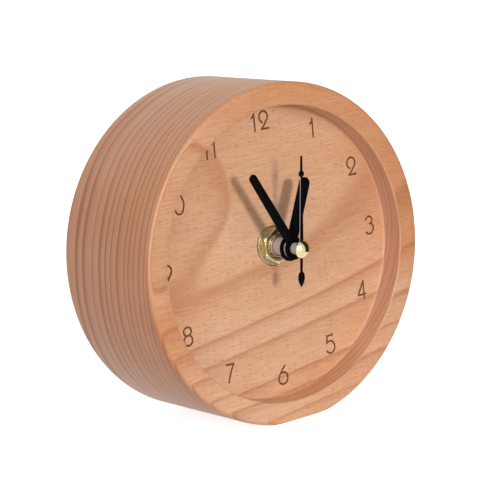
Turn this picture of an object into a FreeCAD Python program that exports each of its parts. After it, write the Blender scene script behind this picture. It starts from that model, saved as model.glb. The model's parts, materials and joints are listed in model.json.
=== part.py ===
import FreeCAD, Part
import math
import os
import re
import Sketcher
from FreeCAD import Placement, Rotation, Vector

# Wooden desk clock: a turned beech drum that stands on a narrow flat, with a
# sunk dial, three hands and a battery movement in a round pocket at the back.
# +X is to the right seen from the front, +Y goes back into the clock, +Z is up.
# The origin is the middle of the flat that the clock stands on.

os.makedirs("parts", exist_ok=True)
doc = FreeCAD.newDocument("desk_clock")

# Driving sizes in millimetres, angles in degrees, and counts and shares
sizes = {
    # Wooden case
    "case_depth": 47,
    "foot_cut": 1.2,
    "front_edge_round": 1.4,
    "back_edge_round": 0.5,
    "rim_width": 7.8,
    "recess_depth": 8.2,
    "recess_edge_round": 0.5,
    "web_thickness": 6,
    "pocket_gap": 2.66,
    "back_rim_width": 15.5,
    "shaft_rise": 2.5,
    "bushing_hole_gap": 0.6,
    # Engraved numerals
    "numeral_ring_margin": 6.2,
    "numeral_ring_left": 0.5,
    "numeral_ring_up": 1.1,
    "numeral_height": 6.4,
    "numeral_groove": 0.6,
    "numeral_depth": 0.3,
    "numeral_space_share": 0.26,
    # Brass fixing on the dial
    "washer_radius": 6.65,
    "washer_thickness": 0.8,
    "washer_gap": 0.2,
    "washer_round": 0.2,
    "nut_across_flats": 11,
    "nut_thickness": 2.5,
    "nut_corner_cut": 0.5,
    "nut_turn": 30,
    "thread_gap": 0.04,
    "bushing_radius": 4,
    "bushing_stand": 3.8,
    "bushing_end_cut": 0.35,
    "bushing_flange_radius": 6,
    "bushing_flange_thickness": 0.8,
    "gasket_radius": 11,
    "gasket_thickness": 1,
    # Shafts, one inside the other
    "hour_tube_radius": 2.9,
    "minute_tube_radius": 1.95,
    "second_arbor_radius": 0.6,
    "running_gap": 0.08,
    "turning_gap": 0.3,
    "pivot_gap": 0.05,
    # Hands, heights taken from the dial
    "hand_sheet": 0.5,
    "hour_hand_height": 9.3,
    "hour_hand_length": 24,
    "hour_hand_width": 4.35,
    "hour_hub_radius": 4.45,
    "hour_hand_angle": 22,
    "minute_hand_height": 11.3,
    "minute_hand_length": 31.1,
    "minute_hand_width": 3.4,
    "minute_hand_end_width": 2.9,
    "minute_hub_radius": 3.8,
    "minute_hand_angle": -29.2,
    "minute_collar_radius": 3.4,
    "minute_collar_length": 1.2,
    "hand_press_gap": 0.02,
    "minute_tube_end_height": 14.4,
    "second_hand_height": 15.1,
    "second_hand_sheet": 0.3,
    "second_hand_length": 30.9,
    "second_hand_root_width": 1.5,
    "second_hand_end_width": 0.65,
    "second_hand_bead_radius": 1.05,
    "second_hand_bead_place": 25,
    "second_hand_tail": 12.5,
    "second_hand_tail_width": 0.9,
    "second_hand_spade_width": 2.65,
    "second_hand_spade_start": 7.6,
    "second_hand_spade_middle": 9.5,
    "second_hand_angle": 6.3,
    "cap_radius": 2.95,
    "cap_rim": 0.5,
    "cap_dome": 1.5,
    "cap_shank_radius": 1.1,
    "cap_shank_stand": 0.4,
    "second_hand_hub_radius": 2,
    # Movement housing
    "train_rise": 26.8,
    "train_drop": 11,
    "movement_corner": 5,
    "shell_wall": 1.2,
    "cover_thickness": 1.2,
    "cover_clip_width": 5,
    "cover_clip_depth": 1.8,
    "cover_clip_thickness": 1,
    "plate_thickness": 1.2,
    "plate_margin": 0.5,
    "plate_post_radius": 2,
    "shell_boss_height": 0.7,
    "boss_radius": 1.4,
    "bearing_depth": 1,
    # Battery and its contacts
    "battery_radius": 7.1,
    "battery_length": 50.5,
    "battery_button_radius": 2.75,
    "battery_button_length": 1,
    "battery_edge_round": 0.6,
    "battery_gap": 0.2,
    "contact_sheet": 0.4,
    "contact_width": 8,
    "contact_lead_width": 2,
    "contact_leaf_rise": 1.1,
    "contact_slot_gap": 0.2,
    "contact_wall_gap": 0.6,
    "contact_overlap": 1.5,
    "bay_end_wall": 0.6,
    # Toothed wheels
    "hour_teeth": 40,
    "motion_pinion_teeth": 10,
    "motion_teeth": 36,
    "minute_pinion_teeth": 12,
    "setting_teeth": 10,
    "centre_teeth": 64,
    "third_pinion_teeth": 8,
    "third_teeth": 60,
    "second_pinion_teeth": 8,
    "second_teeth": 40,
    "middle_pinion_teeth": 8,
    "middle_teeth": 36,
    "rotor_teeth": 6,
    "minute_module": 0.4,
    "third_module": 0.3,
    "second_module": 0.42,
    "rotor_module": 0.3,
    "hour_wheel_thickness": 0.9,
    "motion_wheel_thickness": 0.9,
    "train_wheel_thickness": 0.7,
    "pinion_overlap": 0.2,
    "wheel_gap": 0.3,
    "arbor_radius": 0.5,
    "pivot_radius": 0.35,
    "stud_radius": 0.8,
    "hub_wall": 0.7,
    "third_angle": 135,
    "middle_angle": 20,
    "rotor_angle": 35,
    "motion_angle": 160,
    "setting_angle": 180,
    "journal_radius": 3,
    "clutch_seat_radius": 1.5,
    "clutch_gap": 0.1,
    "clutch_radius": 3.6,
    "clutch_thickness": 0.25,
    # Setting knob
    "setting_arbor_radius": 1.2,
    "setting_arbor_stand": 2.2,
    "setting_knob_radius": 5.5,
    "setting_knob_depth": 3.2,
    "setting_knob_flutes": 18,
    "setting_flute_radius": 0.6,
    # Step motor
    "magnet_radius": 2.6,
    "magnet_length": 2,
    "magnet_gap": 0.4,
    "stator_thickness": 0.8,
    "stator_ring": 1.3,
    "stator_arm_width": 3,
    "coil_length": 18,
    "coil_radius": 2.9,
    "coil_former_radius": 1.9,
    "bobbin_flange_radius": 3.2,
    "bobbin_flange_thickness": 0.8,
    "core_width": 3,
    "core_end": 3.4,
    "coil_wall_gap": 1.3,
    "coil_drop": 5.5,
    # Circuit board
    "board_height": 7,
    "board_thickness": 1,
    "board_side_gap": 1.2,
    "board_coil_gap": 8.7,
    "board_drop": 5.2,
    "chip_radius": 2.6,
    "chip_height": 1.2,
    "crystal_radius": 1,
    "crystal_length": 6,
    "crystal_neck_radius": 0.5,
    # Cutting tools reach this far past what they cut
    "overrun": 1,
}

sheet = doc.addObject("Spreadsheet::Sheet", "Sizes")
for row, (name, value) in enumerate(sizes.items(), start=1):
    sheet.set(f"A{row}", name)
    sheet.set(f"B{row}", str(value))
    sheet.setAlias(f"B{row}", name)

# Places and sizes that follow from the driving ones
places = {
    # Heights and depths in the case
    "corner_right": "half_width - movement_corner",
    "corner_up": "outer_high - movement_corner + shaft_rise",
    "corner_reach": "sqrt(corner_right * corner_right + corner_up * corner_up)",
    "pocket_radius": "corner_reach + movement_corner + pocket_gap",
    "case_radius": "pocket_radius + back_rim_width",
    "case_up": "case_radius - foot_cut",
    "recess_radius": "case_radius - rim_width",
    "shaft_up": "case_up + shaft_rise",
    "front": "0 - case_depth / 2",
    "back": "case_depth / 2",
    "dial": "front + recess_depth",
    "web_back": "dial + web_thickness",
    "movement_depth": "shell_wall + 2 * battery_gap + 2 * battery_radius",
    "move_front": "web_back + gasket_thickness",
    "move_back": "move_front + movement_depth",
    "inner_front": "move_front + shell_wall",
    "cover_front": "move_back - cover_thickness",
    "bay_half": "battery_length / 2 + contact_sheet + contact_leaf_rise / 2",
    "half_inner": "bay_half + bay_end_wall",
    "half_width": "half_inner + shell_wall",
    "numeral_ring_radius": "recess_radius - numeral_ring_margin",
    "numeral_right": "0 - numeral_ring_left",
    "numeral_up": "case_up + numeral_ring_up",
    # Battery bay at the bottom of the movement
    "bay_gap": "2 * battery_gap + 2 * battery_radius",
    "divider_top": "0 - train_drop",
    "bay_top": "divider_top - shell_wall",
    "bay_bottom": "bay_top - bay_gap",
    "outer_low": "bay_bottom - shell_wall",
    "outer_high": "train_rise + shell_wall",
    "battery_up": "bay_bottom + battery_gap + battery_radius",
    "battery_deep": "inner_front + battery_gap + battery_radius",
    # Centre distances of the meshing wheels
    "motion_reach": "minute_module * (motion_teeth + minute_pinion_teeth) / 2",
    "hour_module": "2 * motion_reach / (hour_teeth + motion_pinion_teeth)",
    "setting_reach": "minute_module * (motion_teeth + setting_teeth) / 2",
    "third_reach": "third_module * (third_teeth + second_pinion_teeth) / 2",
    "centre_module": "2 * third_reach / (centre_teeth + third_pinion_teeth)",
    "middle_reach": "second_module * (second_teeth + middle_pinion_teeth) / 2",
    "rotor_reach": "rotor_module * (middle_teeth + rotor_teeth) / 2",
    "motion_right": "motion_reach * cos(motion_angle * 1deg)",
    "motion_up": "motion_reach * sin(motion_angle * 1deg)",
    "setting_right": "motion_right + setting_reach * cos(setting_angle * 1deg)",
    "setting_up": "motion_up + setting_reach * sin(setting_angle * 1deg)",
    "third_right": "third_reach * cos(third_angle * 1deg)",
    "third_up": "third_reach * sin(third_angle * 1deg)",
    "middle_right": "middle_reach * cos(middle_angle * 1deg)",
    "middle_up": "middle_reach * sin(middle_angle * 1deg)",
    "rotor_right": "middle_right + rotor_reach * cos(rotor_angle * 1deg)",
    "rotor_up": "middle_up + rotor_reach * sin(rotor_angle * 1deg)",
    # Levels of the motion work, front to back
    "flange_back": "inner_front + bushing_flange_thickness",
    "hour_front": "flange_back + turning_gap",
    "hour_back": "hour_front + hour_wheel_thickness",
    "motion_pinion_front": "inner_front + shell_boss_height + turning_gap",
    "motion_front": "hour_back + wheel_gap + pinion_overlap",
    "motion_back": "motion_front + motion_wheel_thickness",
    "minute_pinion_front": "motion_front - pinion_overlap",
    "minute_pinion_back": "motion_back + pinion_overlap",
    "plate_front": "minute_pinion_back + wheel_gap + pinion_overlap",
    "plate_back": "plate_front + plate_thickness",
    # Levels of the going train
    "journal_front": "plate_front - clutch_gap",
    "journal_back": "plate_back + turning_gap",
    "centre_front": "journal_back + clutch_gap",
    "centre_back": "centre_front + train_wheel_thickness",
    "clutch_front": "centre_back + clutch_gap",
    "clutch_back": "clutch_front + clutch_thickness",
    "second_pinion_front": "clutch_back + wheel_gap",
    "third_front": "second_pinion_front + pinion_overlap",
    "third_back": "third_front + train_wheel_thickness",
    "second_pinion_back": "third_back + pinion_overlap",
    "third_pinion_front": "centre_front - pinion_overlap",
    "second_front": "second_pinion_back + wheel_gap + pinion_overlap",
    "second_back": "second_front + train_wheel_thickness",
    "middle_pinion_front": "second_front - pinion_overlap",
    "middle_pinion_back": "second_back + pinion_overlap",
    "middle_front": "middle_pinion_back + wheel_gap + pinion_overlap",
    "middle_back": "middle_front + train_wheel_thickness",
    "rotor_pinion_front": "middle_front - pinion_overlap",
    "rotor_pinion_back": "middle_back + pinion_overlap",
    "magnet_back": "rotor_pinion_front - pinion_overlap",
    "magnet_front": "magnet_back - magnet_length",
    "boss_front": "cover_front - shell_boss_height",
    "pivot_back": "boss_front + bearing_depth",
    # Step motor
    "stator_front": "magnet_front + magnet_length / 2 - stator_thickness / 2",
    "stator_back": "stator_front + stator_thickness",
    "core_back": "stator_back + stator_thickness",
    "coil_deep": "stator_back + stator_thickness / 2",
    "coil_right": "half_inner - coil_wall_gap - core_end - coil_length / 2",
    "coil_up": "train_rise - coil_drop",
    "board_front": "third_back + wheel_gap",
    "board_back": "board_front + board_thickness",
    "board_left_edge": "board_side_gap - bay_half",
    "board_right_edge": "coil_right - coil_length / 2 - core_end - board_coil_gap",
    "board_width": "board_right_edge - board_left_edge",
    "board_right": "(board_left_edge + board_right_edge) / 2",
    "board_up": "train_rise - board_drop",
    "board_low": "board_up - board_height / 2",
    "board_high": "board_up + board_height / 2",
    "lead_front": "board_back",
    "lead_back": "lead_front + contact_lead_width",
    # Hands: depth of each underside, counted forward from the dial
    "hour_hand_back": "dial - hour_hand_height",
    "hour_hand_front": "hour_hand_back - hand_sheet",
    "minute_hand_back": "dial - minute_hand_height",
    "minute_tube_end": "dial - minute_tube_end_height",
    "second_hand_back": "dial - second_hand_height",
    "second_hand_front": "second_hand_back - second_hand_sheet",
}


def formula(text):
    """Point each name in a formula at the sheet that holds it."""
    def home(found):
        word = found.group()
        if word in sizes:
            return "Sizes." + word
        if word in places:
            return "Places." + word
        return word
    return re.sub(r"[a-z][a-z_]*", home, str(text))


derived = doc.addObject("Spreadsheet::Sheet", "Places")
for row, (name, text) in enumerate(places.items(), start=1):
    derived.set(f"A{row}", name)
    derived.setAlias(f"B{row}", name)
for row, (name, text) in enumerate(places.items(), start=1):
    derived.set(f"B{row}", "=" + formula(text))
doc.recompute()


def val(text):
    """Work a formula out as a plain number."""
    result = sheet.evalExpression(formula(text).replace("Sizes.", ""))
    return float(getattr(result, "Value", result))


# Sketches and features

def new_body(label):
    body = doc.addObject("PartDesign::Body", label)
    body.Label = label
    return body


def origin_plane(body, role):
    for feature in body.Origin.OriginFeatures:
        if feature.Role == role:
            return feature
    raise ValueError(role)


def new_sketch(body, name, depth="0"):
    """A sketch facing the front, in the plane at this depth."""
    sketch = body.newObject("Sketcher::SketchObject", name)
    sketch.AttachmentSupport = [(origin_plane(body, "XZ_Plane"), "")]
    sketch.MapMode = "FlatFace"
    sketch.setExpression("AttachmentOffset.Base.z", formula(f"0 - ({depth})"))
    return sketch


def pin_point(sketch, edge, point, right, up, name):
    """Hold a point of the sketch at named distances from its origin."""
    for kind, text in (("DistanceX", right), ("DistanceY", up)):
        place = sketch.addConstraint(Sketcher.Constraint(kind, edge, point, val(text)))
        constraint_name = f"{name}_{kind}"
        sketch.renameConstraint(place, constraint_name)
        sketch.setExpression("Constraints." + constraint_name, formula(text))


def draw_polygon(sketch, corners, name="corner"):
    """A closed outline through corners given as (right, up) formulas."""
    points = [Vector(val(right), val(up), 0) for right, up in corners]
    first = sketch.GeometryCount
    count = len(points)
    for place in range(count):
        sketch.addGeometry(Part.LineSegment(points[place], points[(place + 1) % count]))
    for place in range(count):
        following = first + (place + 1) % count
        sketch.addConstraint(Sketcher.Constraint("Coincident", first + place, 2, following, 1))
    for place, (right, up) in enumerate(corners):
        pin_point(sketch, first + place, 1, right, up, f"{name}_{place}")


def draw_box(sketch, left, right, low, high, name="box"):
    draw_polygon(sketch, [(left, low), (right, low), (right, high), (left, high)], name)


def draw_circle(sketch, right, up, radius, name="circle"):
    middle = Vector(val(right), val(up), 0)
    edge = sketch.addGeometry(Part.Circle(middle, Vector(0, 0, 1), val(radius)))
    pin_point(sketch, edge, 3, right, up, name)
    place = sketch.addConstraint(Sketcher.Constraint("Radius", edge, val(radius)))
    sketch.renameConstraint(place, name + "_radius")
    sketch.setExpression(f"Constraints.{name}_radius", formula(radius))


def add_pad(body, sketch, name, length):
    """Add material from the sketch towards the front."""
    pad = body.newObject("PartDesign::Pad", name)
    pad.Profile = sketch
    pad.setExpression("Length", formula(length))
    doc.recompute()
    return pad


def cut_pocket(body, sketch, name, length):
    """Cut material from the sketch towards the back, and see that it cuts."""
    before = body.Shape.Volume
    pocket = body.newObject("PartDesign::Pocket", name)
    pocket.Profile = sketch
    pocket.setExpression("Length", formula(length))
    doc.recompute()
    if not body.Shape.Volume < before:
        raise RuntimeError(f"{name} cuts nothing")
    return pocket


def round_edges(body, name, radius, wanted, kind="PartDesign::Fillet"):
    """Round or chamfer the edges of the body that a test picks out."""
    base = body.Tip
    picked = [f"Edge{place}" for place, edge in enumerate(base.Shape.Edges, start=1) if wanted(edge)]
    if not picked:
        raise RuntimeError(f"{name} finds no edge")
    feature = body.newObject(kind, name)
    feature.Base = (base, picked)
    feature.setExpression("Radius" if kind.endswith("Fillet") else "Size", formula(radius))
    doc.recompute()
    return feature


def is_circle_at(edge, radius, depth):
    """Whether an edge is a circle of this radius about Y at this depth."""
    near = val("overrun") * near_share
    if not isinstance(edge.Curve, Part.Circle):
        return False
    return abs(edge.Curve.Radius - val(radius)) < near and abs(edge.Curve.Center.y - val(depth)) < near


def round_circle(body, name, size, radius, depth):
    """Round the body's edge that is a circle of this radius at this depth."""
    round_edges(body, name, size, lambda edge: is_circle_at(edge, radius, depth))


near_share = 0.001


def put(piece, right, up):
    """Set a piece on an axis given by formulas."""
    piece.setExpression("Placement.Base.x", formula(right))
    piece.setExpression("Placement.Base.z", formula(up))


def turned(label, outline, right="0", up="shaft_up"):
    """A piece turned about an axis along Y, from (radius, depth) corners."""
    body = new_body(label)
    sketch = body.newObject("Sketcher::SketchObject", label + "_profile")
    sketch.AttachmentSupport = [(origin_plane(body, "XY_Plane"), "")]
    sketch.MapMode = "FlatFace"
    draw_polygon(sketch, outline)
    turn = body.newObject("PartDesign::Revolution", label + "_turning")
    turn.Profile = sketch
    turn.ReferenceAxis = (sketch, ["V_Axis"])
    turn.Angle = full_turn
    put(body, right, up)
    doc.recompute()
    return body


full_turn = 360

# Solids made directly, for toothed wheels and bent sheet


def cylinder(radius, front, back, right="0", up="0"):
    start = Vector(val(right), val(front), val(up))
    return Part.makeCylinder(val(radius), val(f"({back}) - ({front})"), start, Vector(0, 1, 0))


def box(left, right, front, back, low, high):
    corner = Vector(val(left), val(front), val(low))
    spans = (val(f"({right}) - ({left})"), val(f"({back}) - ({front})"), val(f"({high}) - ({low})"))
    return Part.makeBox(*spans, corner)


def feature(label, shape, right="0", up="shaft_up", turn="0"):
    """A piece from a finished solid, set on its axis and turned about it."""
    piece = doc.addObject("Part::Feature", label)
    piece.Label = label
    piece.Shape = shape
    piece.Placement = Placement(Vector(val(right), 0, val(up)), Rotation(Vector(0, 1, 0), val(turn)))
    return piece


# A wheel's tooth is wide with a pointed arch, and a pinion's leaf is slender
wheel_tooth_shares = {"width": 0.44, "rise": 1.0, "fall": 1.2, "shoulder": 0.62}
pinion_leaf_shares = {"width": 0.36, "rise": 0.62, "fall": 1.45, "shoulder": 0.7}
shoulder_width_share = 0.62


def toothed(teeth, module, front, back, phase, shares):
    """A toothed disc whose first tooth points at the phase, in radians."""
    count = round(val(teeth))
    size = val(module)
    pitch = size * count / 2
    rise = size * shares["rise"]
    root = pitch - size * shares["fall"]
    step = 2 * math.pi / count
    half = step * shares["width"] / 2

    def at(radius, angle):
        return Vector(radius * math.cos(angle), val(front), radius * math.sin(angle))

    edges = []
    for place in range(count):
        middle = phase + place * step
        following = middle + step
        tip = at(pitch + rise, middle)
        shoulder = pitch + rise * shares["shoulder"]
        narrow = half * shoulder_width_share
        edges.append(Part.makeLine(at(root, middle - half), at(pitch, middle - half)))
        edges.append(Part.Arc(at(pitch, middle - half), at(shoulder, middle - narrow), tip).toShape())
        edges.append(Part.Arc(tip, at(shoulder, middle + narrow), at(pitch, middle + half)).toShape())
        edges.append(Part.makeLine(at(pitch, middle + half), at(root, middle + half)))
        valley = (at(root, middle + half), at(root, middle + step / 2), at(root, following - half))
        edges.append(Part.Arc(*valley).toShape())
    face = Part.Face(Part.Wire(edges))
    return face.extrude(Vector(0, val(f"({back}) - ({front})"), 0))


def meshing_phase(driver_teeth, driver_phase, direction, teeth):
    """Phase of a wheel whose gap meets the driver's tooth on the line of centres."""
    driver_step = 2 * math.pi / round(val(driver_teeth))
    step = 2 * math.pi / round(val(teeth))
    passed = ((direction - driver_phase) / driver_step) % 1
    return direction + math.pi - step * (1 / 2 - passed)


# Numerals as strokes. Each stroke is a run of points given as shares of the
# numeral's height, (right, up) from its lower left, joined by smooth arcs in
# threes: start, middle, end, middle, end and so on. Two points are a line.
digit_width_shares = {
    "0": 0.64, "1": 0.26, "2": 0.64, "3": 0.6, "4": 0.58,
    "5": 0.6, "6": 0.64, "7": 0.52, "8": 0.58, "9": 0.62,
}
digit_stroke_shares = {
    "0": [[(0.07, 0.78), (0, 0.5), (0.07, 0.22)], [(0.07, 0.22), (0.32, 0), (0.57, 0.22)],
          [(0.57, 0.22), (0.64, 0.5), (0.57, 0.78)], [(0.57, 0.78), (0.32, 1), (0.07, 0.78)]],
    "1": [[(0.2, 1), (0.2, 0)], [(0.2, 0.88), (0.02, 0.72)]],
    "2": [[(0.2, 0.4), (0.03, 0.72), (0.32, 1)], [(0.32, 1), (0.6, 0.74), (0.46, 0.42)],
          [(0.46, 0.42), (0.3, 0.2), (0.12, 0.03)], [(0.12, 0.03), (0.62, 0.03)]],
    "3": [[(0.08, 0.86), (0.33, 1), (0.54, 0.8)], [(0.54, 0.8), (0.49, 0.65), (0.34, 0.58)],
          [(0.34, 0.58), (0.58, 0.44), (0.57, 0.22)], [(0.57, 0.22), (0.34, 0.01), (0.06, 0.14)]],
    "4": [[(0.44, 1), (0.02, 0.23)], [(0.02, 0.23), (0.58, 0.23)], [(0.44, 1), (0.44, 0)]],
    "5": [[(0.5, 1.02), (0.1, 1.02)], [(0.1, 1.02), (0.04, 0.62)],
          [(0.04, 0.62), (0.4, 0.68), (0.59, 0.38)], [(0.59, 0.38), (0.38, 0.03), (0.02, 0.16)]],
    "6": [[(0.5, 1), (0.2, 0.68), (0.02, 0.36)], [(0.02, 0.36), (0.08, 0.1), (0.32, 0)],
          [(0.32, 0), (0.57, 0.12), (0.63, 0.34)], [(0.63, 0.34), (0.53, 0.59), (0.33, 0.66)],
          [(0.33, 0.66), (0.12, 0.58), (0.02, 0.36)]],
    "7": [[(0, 0.97), (0.5, 0.97)], [(0.5, 0.97), (0.26, 0.5), (0.08, 0)]],
    "8": [[(0.28, 1), (0.03, 0.78), (0.28, 0.55)], [(0.28, 0.55), (0.53, 0.78), (0.28, 1)],
          [(0.28, 0.55), (0, 0.28), (0.28, 0)], [(0.28, 0), (0.57, 0.28), (0.28, 0.55)]],
    "9": [[(0.12, 0), (0.42, 0.32), (0.6, 0.64)], [(0.6, 0.64), (0.54, 0.9), (0.3, 1)],
          [(0.3, 1), (0.05, 0.88), (0, 0.66)], [(0, 0.66), (0.09, 0.41), (0.29, 0.34)],
          [(0.29, 0.34), (0.5, 0.42), (0.6, 0.64)]],
}


def groove(points):
    """A round-ended cutter along a line or an arc in the dial's plane."""
    half = val("numeral_groove") / 2
    low = val("dial - overrun")
    deep = val("overrun + numeral_depth")
    forward = Vector(0, 1, 0)
    ends = [Part.makeCylinder(half, deep, Vector(x, low, z), forward) for x, z in (points[0], points[-1])]
    start, end = (Vector(x, low, z) for x, z in (points[0], points[-1]))
    if len(points) == 2:
        along = (end - start).normalize()
        side = along.cross(forward) * half
        corners = [start + side, end + side, end - side, start - side]
        bar = Part.Face(Part.makePolygon(corners + corners[:1]))
    else:
        halfway = Vector(points[1][0], low, points[1][1])
        middle = Part.Arc(start, halfway, end).toShape().Curve.Center

        def shifted(point, amount):
            outward = (point - middle).normalize()
            return point + outward * amount

        outer = Part.Arc(*(shifted(point, half) for point in (start, halfway, end))).toShape()
        inner = Part.Arc(*(shifted(point, -half) for point in (start, halfway, end))).toShape()
        caps = [Part.makeLine(shifted(point, half), shifted(point, -half)) for point in (start, end)]
        bar = Part.Face(Part.Wire(Part.__sortEdges__([outer, caps[0], inner, caps[1]])))
    return [bar.extrude(Vector(0, deep, 0))] + ends


dial_hours = 12


def numeral_cutters():
    """Cutters for the figures 1 to 12, upright on a ring round the dial."""
    cutters = []
    height = val("numeral_height")
    space = height * val("numeral_space_share")
    for hour in range(1, dial_hours + 1):
        figures = str(hour)
        angle = 2 * math.pi * hour / dial_hours
        widths = [height * digit_width_shares[figure] for figure in figures]
        across = sum(widths) + space * (len(figures) - 1)
        left = val("numeral_right") + val("numeral_ring_radius") * math.sin(angle) - across / 2
        low = val("numeral_up") + val("numeral_ring_radius") * math.cos(angle) - height / 2
        for figure, width in zip(figures, widths):
            for stroke in digit_stroke_shares[figure]:
                cutters += groove([(left + right * height, low + up * height) for right, up in stroke])
            left += width + space
    return cutters


# Wooden case

def make_case():
    blank = new_body("case_blank")
    sketch = new_sketch(blank, "drum", "back")
    draw_circle(sketch, "0", "case_up", "case_radius")
    add_pad(blank, sketch, "drum_pad", "case_depth")
    sketch = new_sketch(blank, "recess", "front")
    draw_circle(sketch, "0", "case_up", "recess_radius")
    cut_pocket(blank, sketch, "recess_pocket", "recess_depth")
    sketch = new_sketch(blank, "back_pocket", "web_back")
    draw_circle(sketch, "0", "case_up", "pocket_radius")
    cut_pocket(blank, sketch, "back_pocket_pocket", "back - web_back")
    sketch = new_sketch(blank, "bushing_hole", "dial")
    draw_circle(sketch, "0", "shaft_up", "bushing_radius + bushing_hole_gap")
    cut_pocket(blank, sketch, "bushing_hole_pocket", "web_thickness")
    round_circle(blank, "front_round", "front_edge_round", "case_radius", "front")
    round_circle(blank, "back_round", "back_edge_round", "case_radius", "back")
    round_circle(blank, "recess_round", "recess_edge_round", "recess_radius", "front")
    round_circle(blank, "pocket_round", "back_edge_round", "pocket_radius", "back")
    sketch = new_sketch(blank, "foot", "front - overrun")
    reach = "case_radius + overrun"
    draw_box(sketch, f"0 - ({reach})", reach, "0 - foot_cut - overrun", "0")
    cut_pocket(blank, sketch, "foot_pocket", "case_depth + 2 * overrun")
    figures = doc.addObject("Part::Feature", "numeral_grooves")
    cutters = numeral_cutters()
    figures.Shape = cutters[0].multiFuse(cutters[1:])
    case = doc.addObject("Part::Cut", "wooden_case")
    case.Label = "wooden_case"
    case.Base = blank
    case.Tool = figures
    doc.recompute()
    if not case.Shape.Volume < blank.Shape.Volume:
        raise RuntimeError("the numerals cut nothing")
    return case


# Brass fixing

def make_fixing():
    washer = turned("dial_washer", [
        ("bushing_radius + washer_gap", "dial - washer_thickness"),
        ("washer_radius", "dial - washer_thickness"),
        ("washer_radius", "dial"),
        ("bushing_radius + washer_gap", "dial"),
    ])
    round_circle(washer, "washer_round", "washer_round", "washer_radius", "dial - washer_thickness")
    gasket = turned("rubber_gasket", [
        ("bushing_radius + washer_gap", "web_back"),
        ("gasket_radius", "web_back"),
        ("gasket_radius", "move_front"),
        ("bushing_radius + washer_gap", "move_front"),
    ])
    bore = "hour_tube_radius + running_gap"
    end = "dial - bushing_stand"
    bushing = turned("threaded_bushing", [
        (bore, end),
        ("bushing_radius - bushing_end_cut", end),
        ("bushing_radius", f"{end} + bushing_end_cut"),
        ("bushing_radius", "inner_front"),
        ("bushing_flange_radius", "inner_front"),
        ("bushing_flange_radius", "flange_back"),
        (bore, "flange_back"),
    ])
    return [washer, gasket, bushing, make_nut()]


nut_sides = 6


def make_nut():
    """Hexagon nut whose front corners are turned down to a cone."""
    front = "dial - washer_thickness - nut_thickness"
    corner = val("nut_across_flats") / 2 / math.cos(math.pi / nut_sides)
    points = []
    for place in range(nut_sides + 1):
        angle = 2 * math.pi * place / nut_sides
        points.append(Vector(corner * math.cos(angle), val(front), corner * math.sin(angle)))
    blank = Part.Face(Part.makePolygon(points)).extrude(Vector(0, val("nut_thickness"), 0))
    narrow = val("nut_across_flats") / 2
    slope = val("nut_corner_cut")
    thickness = val("nut_thickness")
    widest = narrow + thickness * (corner - narrow) / slope
    cone = Part.makeCone(narrow, widest, thickness, Vector(0, val(front), 0), Vector(0, 1, 0))
    bore = cylinder("bushing_radius + thread_gap", front + " - overrun", "dial + overrun")
    return feature("hex_nut", blank.common(cone).cut(bore), turn="nut_turn")


# Movement housing

def corner_edges(edge):
    """Edges along Y at the outer corners of the movement."""
    box_of = edge.BoundBox
    near = val("overrun") * near_share
    middle = box_of.Center
    at_side = abs(abs(middle.x) - val("half_width")) < near
    at_end = min(abs(middle.z - val("outer_high")), abs(middle.z - val("outer_low"))) < near
    return box_of.YLength > val("cover_thickness") / 2 and at_side and at_end


def make_shell():
    shell = new_body("movement_front_shell")
    sketch = new_sketch(shell, "shell_outline", "move_back")
    draw_box(sketch, "0 - half_width", "half_width", "outer_low", "outer_high")
    add_pad(shell, sketch, "shell_pad", "movement_depth")
    round_edges(shell, "shell_corners", "movement_corner", corner_edges)
    sketch = new_sketch(shell, "cover_seat", "cover_front")
    reach = "half_width + overrun"
    draw_box(sketch, f"0 - ({reach})", reach, "bay_top", "outer_high + overrun")
    cut_pocket(shell, sketch, "cover_seat_pocket", "cover_thickness")
    sketch = new_sketch(shell, "train_room", "inner_front")
    draw_box(sketch, "0 - half_inner", "half_inner", "divider_top", "train_rise")
    cut_pocket(shell, sketch, "train_room_pocket", "cover_front - inner_front")
    sketch = new_sketch(shell, "battery_bay", "inner_front")
    draw_box(sketch, "0 - bay_half", "bay_half", "bay_bottom", "bay_top")
    cut_pocket(shell, sketch, "battery_bay_pocket", "movement_depth")
    sketch = new_sketch(shell, "bushing_seat", "move_front")
    draw_circle(sketch, "0", "0", "bushing_radius")
    cut_pocket(shell, sketch, "bushing_seat_pocket", "shell_wall")
    sketch = new_sketch(shell, "motion_boss", "inner_front + shell_boss_height")
    draw_circle(sketch, "motion_right", "motion_up", "stud_radius + hub_wall")
    add_pad(shell, sketch, "motion_boss_pad", "shell_boss_height")
    sketch = new_sketch(shell, "motion_stud", "motion_back + turning_gap")
    draw_circle(sketch, "motion_right", "motion_up", "stud_radius")
    add_pad(shell, sketch, "motion_stud_pad", "motion_back + turning_gap - inner_front")
    sketch = new_sketch(shell, "setting_socket", "inner_front + shell_boss_height")
    draw_circle(sketch, "setting_right", "setting_up", "stud_radius + hub_wall")
    add_pad(shell, sketch, "setting_socket_pad", "shell_boss_height")
    sketch = new_sketch(shell, "plate_posts", "plate_front")
    for place, (right, up) in enumerate(post_places):
        draw_circle(sketch, right, up, "plate_post_radius", f"post_{place}")
    add_pad(shell, sketch, "plate_posts_pad", "plate_front - inner_front")
    sketch = new_sketch(shell, "lead_slots", "lead_front - contact_slot_gap")
    outer = "bay_half + contact_slot_gap"
    inner = "bay_half - contact_sheet - contact_slot_gap"
    for name, left, right in (("left", f"0 - ({outer})", f"0 - ({inner})"), ("right", inner, outer)):
        draw_box(sketch, left, right, "bay_top - overrun", "divider_top + overrun", name + "_slot")
    cut_pocket(shell, sketch, "lead_slots_pocket", "contact_lead_width + 2 * contact_slot_gap")
    sketch = new_sketch(shell, "setting_bearing", "inner_front")
    draw_circle(sketch, "setting_right", "setting_up", "stud_radius + pivot_gap")
    cut_pocket(shell, sketch, "setting_bearing_pocket", "shell_boss_height")
    put(shell, "0", "shaft_up")
    return shell


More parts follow.
